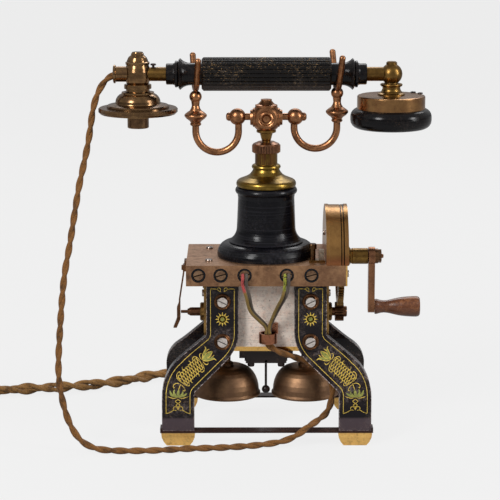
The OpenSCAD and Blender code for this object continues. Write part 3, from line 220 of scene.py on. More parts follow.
def spiral(pitch, number, share, radius):
    """How far a strand stands from the middle of its cord at each point of the run."""
    turn = plus(plying, sum_of(plying, "DIVIDE", run, pitch), sum_of(plying, "DIVIDE", number, share))
    angle = times(plying, turn, math.tau)
    along_side = vector_sum(plying, "SCALE", side, scale=sum_of(plying, "COSINE", angle))
    along_across = vector_sum(plying, "SCALE", across, scale=sum_of(plying, "SINE", angle))
    return vector_sum(plying, "SCALE", vector_sum(plying, "ADD", along_side, along_across), scale=radius)


group_place = spiral(into["Group pitch"], group_number, into["Groups"], into["Group radius"])
strand_place = spiral(into["Strand pitch"], strand_number, into["Strands in a group"], into["Strand offset"])
laid = add_node(plying, "GeometryNodeSetPosition", {
    "Geometry": copies.outputs["Geometry"], "Offset": vector_sum(plying, "ADD", group_place, strand_place)})
marked = add_node(plying, "GeometryNodeStoreNamedAttribute", data_type="FLOAT", domain="POINT")
set_inputs(marked, {"Name": "run", "Geometry": laid.outputs[0], "Value": run})
ring = add_node(plying, "GeometryNodeCurvePrimitiveCircle", {
    "Resolution": into["Sides"], "Radius": into["Strand radius"]})
outward = vector_sum(plying, "NORMALIZE", add_node(plying, "GeometryNodeInputPosition").outputs[0])
round_mark = add_node(plying, "GeometryNodeStoreNamedAttribute", data_type="FLOAT_VECTOR", domain="POINT")
set_inputs(round_mark, {"Name": "round", "Geometry": ring.outputs[0], "Value": outward})
tube = add_node(plying, "GeometryNodeCurveToMesh", {
    "Fill Caps": True, "Curve": marked.outputs[0], "Profile Curve": round_mark.outputs[0]})
soft_shade = add_node(plying, "GeometryNodeSetShadeSmooth", {0: tube.outputs[0]})
end_tree(plying, soft_shade.outputs[0], into["Material"], out)


def line_object(name, line):
    """A poly curve through the points of a line."""
    curve = bpy.data.curves.new(name, "CURVE")
    curve.dimensions = "3D"
    spline = curve.splines.new("POLY")
    spline.points.add(len(line) - 1)
    for point, place in zip(spline.points, line):
        point.co = (*place, 1)
    return add_object(name, curve)


def grown(name, source, tree, values):
    """The plain mesh that a geometry tree makes of the source, as a new piece. The source goes."""
    modifier = source.modifiers.new("grow", "NODES")
    modifier.node_group = tree
    for socket in tree.interface.items_tree:
        if socket.item_type == "SOCKET" and socket.in_out == "INPUT" and socket.name in values:
            modifier[socket.identifier] = values[socket.name]
    depsgraph = bpy.context.evaluated_depsgraph_get()
    depsgraph.update()
    mesh = bpy.data.meshes.new_from_object(source.evaluated_get(depsgraph), depsgraph=depsgraph)
    mesh.name = name
    source.modifiers.remove(modifier)
    bpy.data.objects.remove(source)
    return add_object(name, mesh)


def paint(red, green, blue):
    """A colour as the eye reads it, 0 to 255, made into the light values that a shader takes."""
    shares = (red / 255, green / 255, blue / 255)
    return tuple(v / 12.92 if v <= 0.04045 else ((v + 0.055) / 1.055) ** 2.4 for v in shares) + (1,)


def blended(tree, share, a, b, blend="MIX"):
    """One Mix node on colours. Each input is a socket or a colour, and share may be a number."""
    node = add_node(tree, "ShaderNodeMix", {0: share, 6: a, 7: b}, data_type="RGBA", blend_type=blend)
    return node.outputs[2]


def noise(tree, place, scale, detail=3.0, roughness=0.55):
    return add_node(tree, "ShaderNodeTexNoise", {
        "Vector": place, "Scale": scale, "Detail": detail, "Roughness": roughness}).outputs["Fac"]


def stretched(tree, value, low, high, new_low=0.0, new_high=1.0):
    """Stretches a value between two limits, and keeps it inside them."""
    return add_node(tree, "ShaderNodeMapRange", {
        "Value": value, "From Min": low, "From Max": high, "To Min": new_low, "To Max": new_high},
        interpolation_type="SMOOTHSTEP").outputs["Result"]


def object_place(tree):
    return add_node(tree, "ShaderNodeTexCoord").outputs["Object"]


braid, into, out = new_group(
    "braided_cotton", "ShaderNodeTree",
    [("Yarns", "Float", 6.0), ("Braid length", "Float", 0.003), ("Light yarn", "Color", (0.2, 0.1, 0.04, 1)),
     ("Dark yarn", "Color", (0.1, 0.05, 0.02, 1)), ("Soil", "Color", (0.03, 0.015, 0.008, 1)),
     ("Soil amount", "Float", 0.5)],
    [("Colour", "Color"), ("Height", "Float")])
run = add_node(braid, "ShaderNodeAttribute", attribute_name="run").outputs["Fac"]
around = add_node(braid, "ShaderNodeSeparateXYZ", {
    0: add_node(braid, "ShaderNodeAttribute", attribute_name="round").outputs["Vector"]}).outputs
yarn_angle = times(braid, sum_of(braid, "ARCTAN2", around["Y"], around["X"]), into["Yarns"])
step = times(braid, sum_of(braid, "DIVIDE", run, into["Braid length"]), math.tau)
left_lay, right_lay = (
    sum_of(braid, "ABSOLUTE", sum_of(braid, "SINE", sum_of(braid, way, yarn_angle, step)))
    for way in ("ADD", "SUBTRACT"))
blotch = noise(braid, object_place(braid), 130.0, 4.0, 0.6)
fibre = noise(braid, object_place(braid), 1900.0, 2.0, 0.7)
over = stretched(braid, sum_of(braid, "SUBTRACT", left_lay, right_lay), -0.25, 0.25)
yarn_colour = blended(braid, over, into["Light yarn"], into["Dark yarn"])
shaded = blended(braid, 0.55, yarn_colour, (1.0, 0.85, 0.6, 1), "MULTIPLY")
yarn_colour = blended(braid, stretched(braid, fibre, 0.3, 0.75), yarn_colour, shaded)
soil = times(braid, stretched(braid, blotch, 0.45, 0.75), into["Soil amount"])
ridge = sum_of(braid, "MAXIMUM", left_lay, right_lay)
set_inputs(out, {"Colour": blended(braid, soil, yarn_colour, into["Soil"]),
                 "Height": plus(braid, ridge, times(braid, fibre, 0.5))})


def skinned(name, group, values, rough, relief, strength, shader_values):
    """A material whose colour and relief come from a group, and its dullness too if rough is two limits."""
    material = bpy.data.materials.new(name)
    material.use_nodes = True
    tree = material.node_tree
    skin = add_node(tree, "ShaderNodeGroup", values, node_tree=group, name="skin").outputs
    bump = add_node(tree, "ShaderNodeBump", {
        "Strength": strength, "Distance": relief, "Height": skin["Height"]})
    if isinstance(rough, tuple):
        rough = stretched(tree, skin["Dullness"], 0.0, 1.0, *rough)
    set_inputs(tree.nodes["Principled BSDF"], {
        "Base Color": skin["Colour"], "Roughness": rough, "Normal": bump.outputs[0], **shader_values})
    return material


def cotton(name, light, dark, soil, soil_amount, yarns=6, braid_length=0.0032):
    """A matt cotton braid with soft sheen, as covered wires have."""
    return skinned(name, braid, {
        "Yarns": yarns, "Braid length": braid_length, "Light yarn": light, "Dark yarn": dark, "Soil": soil,
        "Soil amount": soil_amount}, rough=0.85, relief=0.00025, strength=0.8, shader_values={
            "Sheen Weight": 0.12, "Sheen Roughness": 0.5, "Specular IOR Level": 0.25})


handset_route = [(-116.6, 0, 292.4), (-123.1, 0, 292), (-128.6, 0, 288.6), (-133.6, 0, 281.8),
                 (-137.4, -1, 273), (-140, -3, 262), (-143, -8, 241), (-147, -14, 221), (-151, -20, 202),
                 (-157, -32, 163.5), (-162, -42, 133), (-165, -52, 94), (-166, -60, 63), (-163.5, -64, 43),
                 (-158, -68, 24), (-149, -72, 10), (-137, -76, 4), (-120.5, -80, 3), (-93, -80, 3),
                 (-61.5, -75, 3), (-30, -71.5, 3), (-4, -66, 3.4), (14.5, -63.5, 6), (26, -62.5, 11.5),
                 (32, -60.5, 15.8), (37.5, -56, 18), (43.5, -50, 20.5), (48.5, -44.5, 23.6), (51.5, -39, 28),
                 (53.3, -34.5, 35), (53.5, -31.5, 43), (49, -27.5, 50.5), (41, -25, 56.5), (34.5, -24, 60),
                 (28.5, -25.5, 63), (22, -28.8, 66.3), (15.5, -31.3, 69), (10, -32.2, 71.4), (5, -32.2, 74.4),
                 (1.6, -31.9, 78), (1.2, -31.9, 86)]
handset_line = smooth_route(in_metres(handset_route), 6)
handset_cotton = cotton("handset_cotton", paint(146, 101, 52), paint(92, 60, 29), paint(44, 30, 17), 0.7)
handset_cord = grown("handset_cord_strands", line_object("handset_line", handset_line), plying, {
    "Ring spacing": 0.0009, "Strands in a group": 2, "Strand offset": 0.00095, "Strand pitch": 0.027,
    "Strand radius": 0.00185, "Sides": 12, "Material": handset_cotton})
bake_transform(handset_cord)
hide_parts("handset_cord")


# Line cord: four covered strands in two twisted pairs, twisted once more into a thick cord.
# It leaves its clamp behind the left leg, lies on the table, and its spare length is put away in a coil.
line_route = [(-35.5, 40.4, 94.6), (-35.5, 40.4, 91), (-35.5, 40.6, 86), (-36, 44.2, 74), (-37.5, 49.8, 63),
              (-41, 57.6, 52), (-46, 68, 40), (-52, 82, 27), (-60, 100, 16), (-68, 118, 10.5), (-78, 134, 8),
              (-89, 141.5, 6.4), (-104, 136, 5.3), (-128, 118.5, 5.3), (-165, 103.5, 5.3), (-200, 96, 5.3),
              (-214, 93, 5.3), (-250, 86, 5.3), (-277, 81, 5.3), (-302, 79.7, 5.3)]
coil_x, coil_y, coil_radius = -302, 18, 61.7
coil_turns, points_in_a_turn = 4, 24
one_cord, half_cord = 11.3, 5.3
turn_of_climb = 2.25
for i in range(1, coil_turns * points_in_a_turn + 1):
    turn = i / points_in_a_turn
    radius = coil_radius - one_cord * (turn_of_climb - abs(turn_of_climb - turn))
    angle = math.radians(90 + 360 * turn)
    climbed = max(0, min(1, 2 * (turn - turn_of_climb) + 0.5))
    line_route.append((coil_x + radius * math.cos(angle), coil_y + radius * math.sin(angle),
                       half_cord + one_cord * climbed))
line_route += [(-318, 76.5, 17), (-334, 80, 14.6), (-350, 83.5, 9.6), (-364, 85.5, 6), (-380, 86, 5.3)]
line_cord_line = smooth_route(in_metres(line_route), 4)
line_cotton = cotton("line_cotton", paint(166, 126, 76), paint(118, 84, 46), paint(58, 36, 22), 0.8)
line_cord = grown("line_cord_strands", line_object("line_cord_line", line_cord_line), plying, {
    "Ring spacing": 0.0019, "Groups": 2, "Group radius": 0.00225, "Group pitch": 0.056,
    "Strands in a group": 2, "Strand offset": 0.00115, "Strand pitch": 0.0315, "Strand radius": 0.0019,
    "Sides": 8, "Material": line_cotton})
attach(line_cord, "root")
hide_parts("line_cord", "line_cord_coil")


# Connecting wires: four cotton-covered wires rise from the front clamp to the third and fourth terminals,
# and two from the rear clamp to the rear terminals. Some wear coloured sleeves at their upper ends.
def painted_over(material, share, colour):
    """Lays a colour over the material's own. Both are sockets or plain values, and share is 0 to 1."""
    shader = material.node_tree.nodes["Principled BSDF"]
    own_colour = shader.inputs["Base Color"].links[0].from_socket
    set_inputs(shader, {"Base Color": blended(material.node_tree, share, own_colour, colour)})


def sleeved(name, light, dark, sleeve, sleeve_start, spots):
    """Covered wire whose far end, past a run in metres, wears a coloured sleeve with dark spots."""
    material = cotton(name, light, dark, paint(70, 58, 34), 0.5, yarns=4, braid_length=0.0022)
    tree = material.node_tree
    run = add_node(tree, "ShaderNodeAttribute", attribute_name="run").outputs["Fac"]
    blot = stretched(tree, noise(tree, object_place(tree), 620.0, 2.0, 0.6), 0.5, 0.6)
    cover = blended(tree, times(tree, blot, spots), sleeve, paint(52, 46, 34))
    uneven_run = plus(tree, run, times(tree, noise(tree, object_place(tree), 350.0), 0.004))
    painted_over(material, stretched(tree, uneven_run, sleeve_start, sleeve_start + 0.0016), cover)
    return material


def wire_line(start, end_x, away, side):
    """A wire's middle line, from its clamp up and over into a terminal. Away is -1 in front, 1 behind."""
    x, y, z = start
    share = 0.65 if end_x < 0 else 0.4
    rise_y, terminal_z = 45.7, 137
    beside, turning_rate = 1.5, 1.7
    stops = [start, (x, y, z + 6),
             (x * (1 - share) + end_x * share, away * (abs(y) * (1 - share) + rise_y * share),
              z * 0.6 + terminal_z * 0.4),
             (x * 0.15 + end_x * 0.85, away * rise_y, 120.3), (end_x, away * (rise_y + 0.6), 129.5),
             (end_x, away * (rise_y + 2.4), 134.4), (end_x, away * (rise_y + 1.6), terminal_z),
             (end_x, away * 43.8, 137.4)]
    line = smooth_route(stops, 6)
    places = []
    for i, place in enumerate(line):
        turn = math.radians(90 * min(1.0, turning_rate * i / (len(line) - 1)))
        places.append((place + side * beside * Vector((math.sin(turn), math.cos(turn), 0))) / 1000)
    return places


olive, umber = paint(146, 122, 66), paint(106, 84, 42)
slate, coal = paint(104, 96, 90), paint(70, 62, 60)
red_wire = sleeved("red_sleeved_cotton", olive, umber, paint(178, 74, 72), 0.047, 0.35)
green_wire = sleeved("green_sleeved_cotton", olive, umber, paint(150, 152, 52), 0.045, 0.9)
grey_wire = sleeved("grey_cotton", slate, coal, slate, 1.0, 0.0)
for name, mouth, away, olive_x, grey_x, olive_cover in (
        ("wire_3", (-0.4, -31.9, 86.4), -1, -17.673, -17.673, red_wire),
        ("wire_4", (2.8, -31.9, 86.4), -1, 15.996, 15.996, green_wire),
        ("wire_rear", (-35.55, 40.4, 95.4), 1, -41.925, -27.09, grey_wire)):
    for label, end_x, side, cover in (("olive", olive_x, -1, olive_cover), ("grey", grey_x, 1, grey_wire)):
        line = wire_line(mouth, end_x, away, side)
        wire = grown(f"{name}_{label}", line_object(f"{name}_{label}_line", line), plying, {
            "Ring spacing": 0.0008, "Strands in a group": 1, "Strand offset": 0.0, "Strand radius": 0.0013,
            "Sides": 12, "Material": cover})
        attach(wire, "root")
        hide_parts("terminal_wires")


# Base plate: a thick bronze plate, cast and filed, browned by age and by hands, and bare at its edges.
# It is screwed down on the pole pieces.
def bare_edge(tree, width, most, spread):
    """Where a Bevel node finds an edge: from 0 on the flat to 1, patchy as the spread says."""
    rounded = add_node(tree, "ShaderNodeBevel", {"Radius": width}, samples=4).outputs[0]
    flat = add_node(tree, "ShaderNodeNewGeometry").outputs["Normal"]
    turned_away = sum_of(tree, "SUBTRACT", 1.0, vector_sum(tree, "DOT_PRODUCT", rounded, flat))
    return times(tree, stretched(tree, turned_away, 0.02, most), spread)


# Worn metal for all the metal parts. Its grime colour is also the colour of the painted shade in its hollows.
worn_metal, into, out = new_group(
    "worn_metal", "ShaderNodeTree",
    [("Metal", "Color", (0.5, 0.4, 0.2, 1)), ("Patina", "Color", (0.2, 0.1, 0.05, 1)),
     ("Grime", "Color", (0.03, 0.02, 0.015, 1)), ("Bare edge", "Color", (0.8, 0.6, 0.3, 1)),
     ("Patina amount", "Float", 0.5), ("Grime amount", "Float", 0.4), ("Edge wear", "Float", 0.5),
     ("Blotch scale", "Float", 70.0), ("Edge width", "Float", 0.0006), ("Hollow depth", "Float", 0.0015)],
    [("Colour", "Color"), ("Dullness", "Float"), ("Height", "Float")])
tree = worn_metal
place = object_place(tree)
scale = into["Blotch scale"]
wide = noise(tree, place, scale, 4.0, 0.6)
close = noise(tree, place, times(tree, scale, 6.0), 3.0, 0.65)
fine = noise(tree, place, 2300.0, 2.0, 0.6)
blotches = plus(tree, times(tree, wide, 0.6), times(tree, close, 0.4))
patina = stretched(tree, plus(tree, blotches, into["Patina amount"]), 0.85, 1.15)
other_place = vector_sum(tree, "ADD", place, (0.31, 0.17, 0.23))
dirt = noise(tree, other_place, times(tree, scale, 2.6), 5.0, 0.7)
dirt = times(tree, stretched(tree, dirt, 0.48, 0.72), into["Grime amount"])
edge = bare_edge(tree, into["Edge width"], 0.22, stretched(tree, close, 0.35, 0.6))
edge = times(tree, edge, into["Edge wear"])
# Painted shade: hollows that the Ambient Occlusion node finds are darkened towards the grime colour.
hollow = add_node(tree, "ShaderNodeAmbientOcclusion", {"Distance": into["Hollow depth"]}, samples=4,
                  only_local=True)
hollow_shade = sum_of(tree, "SUBTRACT", 1.0, stretched(tree, hollow.outputs["AO"], 0.25, 0.8))
grain = stretched(tree, fine, 0.35, 0.7)
colour = blended(tree, patina, into["Metal"], into["Patina"])
for share in (dirt, times(tree, hollow_shade, 0.9), times(tree, grain, 0.16)):
    colour = blended(tree, share, colour, into["Grime"])
dull = plus(tree, times(tree, patina, 0.5), times(tree, dirt, 0.6))
set_inputs(out, {"Colour": blended(tree, edge, colour, into["Bare edge"]),
                 "Dullness": sum_of(tree, "SUBTRACT", dull, times(tree, edge, 0.4)),
                 "Height": plus(tree, times(tree, close, 0.7), times(tree, fine, 0.3))})


def metal(name, bare, patina, grime_and_shade, edge, amounts, scale, rough, relief=0.000007, metallic=1.0):
    """A worn metal, darkened in its hollows with painted shade. The amounts are those of patina, grime and
    edge wear.
    """
    return skinned(name, worn_metal, {
        "Metal": paint(*bare), "Patina": paint(*patina), "Grime": paint(*grime_and_shade), "Bare edge": paint(*edge),
        "Patina amount": amounts[0], "Grime amount": amounts[1], "Edge wear": amounts[2],
        "Blotch scale": scale}, rough, relief, strength=0.7, shader_values={"Metallic": metallic})


def dress(material, *nodes):
    for name in nodes:
        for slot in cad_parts[name].material_slots:
            slot.material = material


dress(metal("plate_bronze", (176, 134, 98), (130, 94, 68), (62, 44, 32), (206, 154, 106), (0.52, 0.6, 0.9),
            scale=55.0, rough=(0.34, 0.6), relief=0.0001, metallic=0.75), "base_plate")


# Column: turned ebonite, polished and now a little smeared, with fine turning marks. It stands on the plate.
# The terminals' bushes are of the same stuff, pressed into the plate.
polished_black, into, out = new_group(
    "polished_black", "ShaderNodeTree",
    [("Black", "Color", (0.006, 0.005, 0.005, 1)), ("Rubbed and highlight", "Color", (0.1, 0.08, 0.06, 1)),
     ("Fleck", "Color", (0.3, 0.2, 0.1, 1)), ("Rub amount", "Float", 0.4), ("Fleck amount", "Float", 0.2),
     ("Edge width", "Float", 0.0006), ("Ring amount", "Float", 0.0), ("Fleck shape", "Vector", (1, 1, 1)),
     ("Fleck cover", "Float", 0.0), ("Smear share", "Float", 1.0)],
    [("Colour", "Color"), ("Dullness", "Float"), ("Height", "Float")])
tree = polished_black
place = object_place(tree)
wide = noise(tree, place, 45.0, 4.0, 0.6)
close = noise(tree, place, 420.0, 4.0, 0.7)
fine = noise(tree, vector_sum(tree, "MULTIPLY", place, into["Fleck shape"]), 1700.0, 3.0, 0.7)
rings = noise(tree, vector_sum(tree, "MULTIPLY", place, (0.01, 0.01, 1.0)), 1100.0, 2.0, 0.6)
rings = times(tree, stretched(tree, rings, 0.5, 0.78), into["Ring amount"])
smear = stretched(tree, wide, 0.42, 0.68)
smeared = times(tree, times(tree, smear, stretched(tree, close, 0.4, 0.75)), into["Smear share"])
edge = bare_edge(tree, into["Edge width"], 0.25, stretched(tree, close, 0.38, 0.62))
rub = times(tree, sum_of(tree, "MAXIMUM", edge, smeared), into["Rub amount"])
rub = sum_of(tree, "MAXIMUM", rub, rings)
fleck = stretched(tree, plus(tree, fine, into["Fleck cover"]), 0.62, 0.72)
patches = stretched(tree, plus(tree, wide, into["Fleck cover"]), 0.4, 0.6)
fleck = times(tree, times(tree, fleck, into["Fleck amount"]), patches)
colour = blended(tree, rub, into["Black"], into["Rubbed and highlight"])
set_inputs(out, {"Colour": blended(tree, fleck, colour, into["Fleck"]),
                 "Dullness": plus(tree, times(tree, smear, 0.5), times(tree, rub, 0.7)),
                 "Height": sum_of(tree, "SUBTRACT", close, fleck)})


def blacked(name, black, rubbed_and_highlight, fleck, rub, flecks, rough, shine=0.22, edge_width=0.0006, rings=0.0,
            fleck_shape=(1.0, 1.0, 1.0), cover=0.0, smears=1.0):
    """Polished black stuff with dull smears, pale rubbed edges and a few brown flecks. On the legs the pale
    edge colour is partly a painted highlight.
    """
    return skinned(name, polished_black, {
        "Black": paint(*black), "Rubbed and highlight": paint(*rubbed_and_highlight), "Fleck": paint(*fleck), "Rub amount": rub,
        "Fleck amount": flecks, "Edge width": edge_width, "Ring amount": rings, "Fleck shape": fleck_shape,
        "Fleck cover": cover, "Smear share": smears},
        rough, relief=0.00001, strength=0.6, shader_values={"Specular IOR Level": shine})


dress(blacked("column_ebonite", (8, 8, 12), (62, 60, 68), (150, 120, 84), rub=0.45, flecks=0.25, rings=0.32,
              rough=(0.2, 0.5), shine=0.2), "column", "terminal_insulators")


# Neck of the column: cast and turned brass, olive where it has tarnished and golden where hands rub it. The
# cap is streaked with brown at its top, and the nut screwed on above it carries painted shade between its
# ribs.
# The sliding stem, the crank's bearing and the tube and knuckle of the handset are of the same brass.
def between(tree, axis, start, end, least=0.0):
    """A value that goes smoothly from the least to 1 between two places on X, Y or Z, in metres."""
    places = add_node(tree, "ShaderNodeSeparateXYZ", {0: object_place(tree)}).outputs
    return stretched(tree, places[axis], start, end, least)


def within(tree, axis, low, high, soft_edge):
    """A value that is 1 between two places on X, Y or Z, and fades to 0 at them over a soft edge."""
    return times(tree, between(tree, axis, low, low + soft_edge), between(tree, axis, high, high - soft_edge))


neck_brass = metal("neck_brass", (150, 116, 60), (108, 80, 42), (42, 30, 18), (204, 164, 96), (0.5, 0.5, 0.6),
                   scale=60.0, rough=(0.28, 0.48))
dress(neck_brass, "handset_tube", "cradle_plunger", "receiver_knuckle", "crank_bearing")
cap_brass = metal("cap_brass", (146, 118, 54), (106, 84, 38), (42, 30, 18), (204, 164, 96), (0.5, 0.4, 0.6),
                  scale=60.0, rough=(0.28, 0.46))
tree = cap_brass.node_tree
streaks = noise(tree, vector_sum(tree, "MULTIPLY", object_place(tree), (1.0, 1.0, 0.06)), 900.0, 3.0, 0.65)
streaks_from, streaks_to = 0.2199, 0.2212
near_top = between(tree, "Z", streaks_from, streaks_to)
painted_over(cap_brass, times(tree, near_top, stretched(tree, streaks, 0.3, 0.62)), paint(92, 58, 38))
dress(cap_brass, "column_cap")
nut_brass = metal("nut_brass", (150, 106, 78), (112, 78, 58), (34, 22, 16), (196, 148, 104), (0.5, 0.4, 0.8),
                  scale=60.0, rough=(0.3, 0.55))
band_low, band_high = 0.2300, 0.2360
painted_rib_shade = within(nut_brass.node_tree, "Z", band_low, band_high, soft_edge=0.0003)
# Painted shade: the band of the nut's rim under the ribs is darkened to deepen the grooves between them.
painted_over(nut_brass, painted_rib_shade, paint(40, 26, 20))
dress(nut_brass, "collar_nut")


# Cradle: block, hooks and forks of cast copper-coloured bronze, brighter along their worn edges.
# The block tops the sliding stem, and a hook of bent tube stands out from each of its sides.
dress(metal("cradle_bronze", (182, 128, 88), (128, 86, 60), (50, 32, 24), (226, 168, 116), (0.48, 0.55, 0.75),
            scale=70.0, rough=(0.3, 0.5)), "cradle_block", "left_hook", "right_hook")


# Handset metal: transmitter and receiver in brown antique brass with yellow where it is rubbed.
# The parts are spun and turned, and sit on the two ends of the handset's tube.
dress(metal("antique_brass", (162, 126, 84), (104, 78, 56), (36, 26, 22), (222, 184, 126), (0.52, 0.35, 0.9),
            scale=40.0, rough=(0.16, 0.34)), "transmitter_knuckle", "transmitter_cup", "mouth_tube")
dress(metal("receiver_brass", (172, 130, 84), (128, 90, 60), (60, 42, 28), (222, 176, 118), (0.5, 0.35, 0.5),
            scale=30.0, rough=(0.22, 0.36)), "receiver_can")


# Black parts of the handset, turned from ebonite: the reeded handle, rubbed grey on its ridges and flecked
# with the brown of old dirt, and its smooth ends and the ear cap. The handle carries a painted grey sheen on
# its lower side and has fewer flecks there.
handle_ebonite = blacked("handle_ebonite", (15, 13, 13), (84, 76, 70), (176, 142, 96), rub=0.8, flecks=0.9,
                         rough=(0.2, 0.5), edge_width=0.0004, fleck_shape=(0.3, 0.9, 0.9), cover=0.04)
tree = handle_ebonite.node_tree
few_flecks_z, most_flecks_z = 0.288, 0.299
black_z, grey_z = 0.289, 0.28
fleck_amount = between(tree, "Z", few_flecks_z, most_flecks_z, least=0.3)
set_inputs(tree.nodes["skin"], {"Fleck amount": fleck_amount})
# Painted sheen: the lower side of the handle is greyed towards the bottom.
painted_over(handle_ebonite, times(tree, between(tree, "Z", black_z, grey_z), 0.5), paint(84, 72, 66))
dress(handle_ebonite, "handle")
dress(blacked("turned_ebonite", (9, 8, 10), (66, 56, 52), (140, 106, 72), rub=0.45, flecks=0.4,
              rough=(0.18, 0.42)), "handle_ends", "ear_cap")


# Knurl of the collar nut: fine upright ribs of brass stand round its rim for the fingers, all alike and
# brighter than the nut between them, which is darkened with painted shade. They are sunk by half into the
# rim.
ribs, into, out = new_group(
    "ribs_round_a_rim", "GeometryNodeTree",
    [("Geometry", "Geometry", None), ("Count", "Int", 60), ("Rim radius", "Float", 0.01),
     ("Foot", "Vector", (0.0, 0.0, 0.0)), ("Height", "Float", 0.005), ("Rib radius", "Float", 0.0003),
     ("Material", "Material", None)],
    [("Geometry", "Geometry")])
rim = add_node(ribs, "GeometryNodeMeshCircle", {"Vertices": into["Count"], "Radius": into["Rim radius"]})
upright = add_node(ribs, "GeometryNodeCurvePrimitiveLine", mode="DIRECTION")
set_inputs(upright, {"Direction": (0, 0, 1), "Length": into["Height"]})
section = add_node(ribs, "GeometryNodeCurvePrimitiveCircle", {
    "Resolution": 8, "Radius": into["Rib radius"]})
rib = add_node(ribs, "GeometryNodeCurveToMesh", {
    "Fill Caps": True, "Curve": upright.outputs[0], "Profile Curve": section.outputs[0]})
stood = add_node(ribs, "GeometryNodeInstanceOnPoints", {
    "Points": rim.outputs[0], "Instance": rib.outputs[0]})
placed = add_node(ribs, "GeometryNodeTransform", {"Geometry": stood.outputs[0], "Translation": into["Foot"]})
end_tree(ribs, placed.outputs[0], into["Material"], out)
collar_brass = metal("collar_brass", (164, 116, 86), (128, 88, 66), (34, 22, 16), (206, 156, 112),
                     (0.45, 0.4, 0.8), scale=60.0, rough=(0.3, 0.55))
knurl = grown("collar_knurl", line_object("collar_seed", [(0, 0, 0.23), (0, 0, 0.231)]), ribs, {
    "Count": 54, "Rim radius": 0.0111, "Foot": (0.0, 0.0, 0.2302), "Height": 0.0056, "Rib radius": 0.0004,
    "Material": collar_brass})
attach(knurl, "root")


# Generator: cast pole pieces with a pitted grey-pink skin, brass floor, brass bearing plates and bushes.
# It hangs under the base plate, and screws through the legs hold the magnets on it. The small fittings on
# and round it are of the same brass, of bronze, copper or steel.
pole_iron = metal("pole_iron", (255, 240, 226), (250, 216, 194), (126, 98, 82), (255, 246, 240),
                  (0.42, 0.5, 0.4), scale=160.0, rough=(0.4, 0.65), relief=0.0001, metallic=0.1)
tree = pole_iron.node_tree
place = object_place(tree)
scratches = noise(tree, vector_sum(tree, "MULTIPLY", place, (0.04, 0.04, 1.0)), 1600.0, 3.0, 0.7)
pits = noise(tree, vector_sum(tree, "MULTIPLY", place, (1.0, 1.0, 1.4)), 620.0, 2.0, 0.5)
worn = sum_of(tree, "MAXIMUM", times(tree, stretched(tree, scratches, 0.52, 0.7), 0.3),
              times(tree, stretched(tree, pits, 0.68, 0.74), 0.85))
painted_over(pole_iron, worn, paint(96, 74, 62))
dress(pole_iron, "front_pole_piece", "rear_pole_piece", "armature_core")
dress(metal("bright_brass", (246, 196, 112), (204, 148, 74), (104, 66, 30), (255, 222, 150), (0.35, 0.5, 0.6),
            scale=90.0, rough=(0.16, 0.42)), "generator_floor", "end_strip", "cord_tags", "switch_contacts")
dress(metal("feet_brass", (255, 206, 120), (222, 160, 84), (120, 78, 38), (255, 230, 164), (0.4, 0.5, 0.6),
            scale=90.0, rough=(0.3, 0.5), metallic=0.6), "feet")
dress(metal("frame_brass", (176, 138, 82), (112, 84, 50), (44, 32, 20), (224, 180, 108), (0.5, 0.6, 0.7),
            scale=100.0, rough=(0.22, 0.5)), "bearing_plates", "armature_bushes", "crank_gear")
bracket_brass = metal("bracket_brass", (176, 138, 82), (112, 84, 50), (34, 24, 18), (214, 170, 104),
                      (0.5, 0.8, 0.7), scale=240.0, rough=(0.24, 0.5))
tree = bracket_brass.node_tree
sole_top, block_side = 0.1467, 0.0409
above_sole = times(tree, between(tree, "Z", sole_top, sole_top + 0.0002), 0.8)
dark_post, pale_block = paint(66, 44, 34), paint(158, 144, 130)
standing = blended(tree, between(tree, "X", block_side, block_side + 0.0003), dark_post, pale_block)
painted_over(bracket_brass, above_sole, standing)
dress(bracket_brass, "contact_bracket")
dress(metal("dark_bronze", (128, 88, 60), (74, 52, 38), (26, 20, 16), (182, 128, 84), (0.5, 0.6, 0.6),
            scale=110.0, rough=(0.26, 0.55)), "shunt_spring", "pinion_shaft", "screw_cups")
dress(metal("clamp_copper", (168, 110, 82), (112, 72, 54), (44, 28, 22), (236, 176, 140), (0.45, 0.4, 0.8),
            scale=110.0, rough=(0.18, 0.38)), "cord_clamps")
dress(metal("screw_steel", (240, 230, 222), (176, 152, 138), (58, 44, 38), (255, 250, 244), (0.35, 0.5, 0.7),
            scale=140.0, rough=(0.14, 0.4)), "magnet_screws")
dress(metal("worn_steel", (196, 184, 176), (136, 118, 108), (58, 44, 38), (226, 218, 212), (0.4, 0.5, 0.6),
            scale=140.0, rough=(0.24, 0.5)),
      "small_screws", "hook_spring", "transmitter_works", "receiver_works")
dress(metal("head_bronze", (176, 142, 112), (128, 98, 76), (46, 32, 24), (212, 176, 140), (0.5, 0.5, 0.6),
            scale=140.0, rough=(0.26, 0.5)), "terminal_screws")


# Drum case of the gears and its crank: a rolled brass band in brown with two dark grooves, reddish at its
# foot. It stands on the plate, with a tab behind the bearing. The arm is coppery, under a bronze nut.
dress(metal("case_brass", (162, 114, 82), (120, 82, 60), (58, 38, 28), (210, 156, 108), (0.5, 0.45, 0.7),
            scale=45.0, rough=(0.26, 0.46)), "crank_arm", "crank_shaft")
drum_brass = metal("drum_brass", (176, 132, 78), (136, 98, 58), (70, 42, 26), (222, 170, 112),
                   (0.45, 0.3, 0.8), scale=28.0, rough=(0.28, 0.42), relief=0.000006)
tree = drum_brass.node_tree
brown_z, reddish_z = 0.155, 0.147
painted_over(drum_brass, times(tree, between(tree, "Z", brown_z, reddish_z), 0.55), paint(168, 92, 66))
groove_half = 0.0006
for groove_x in (0.0619, 0.0599):
    in_groove = within(tree, "X", groove_x - groove_half, groove_x + groove_half, soft_edge=0.0003)
    painted_over(drum_brass, in_groove, paint(24, 18, 16))
dress(drum_brass, "gear_case")
dress(metal("nut_bronze", (136, 98, 66), (84, 60, 44), (28, 22, 20), (186, 138, 92), (0.5, 0.6, 0.6),
            scale=140.0, rough=(0.28, 0.55)), "crank_nut")


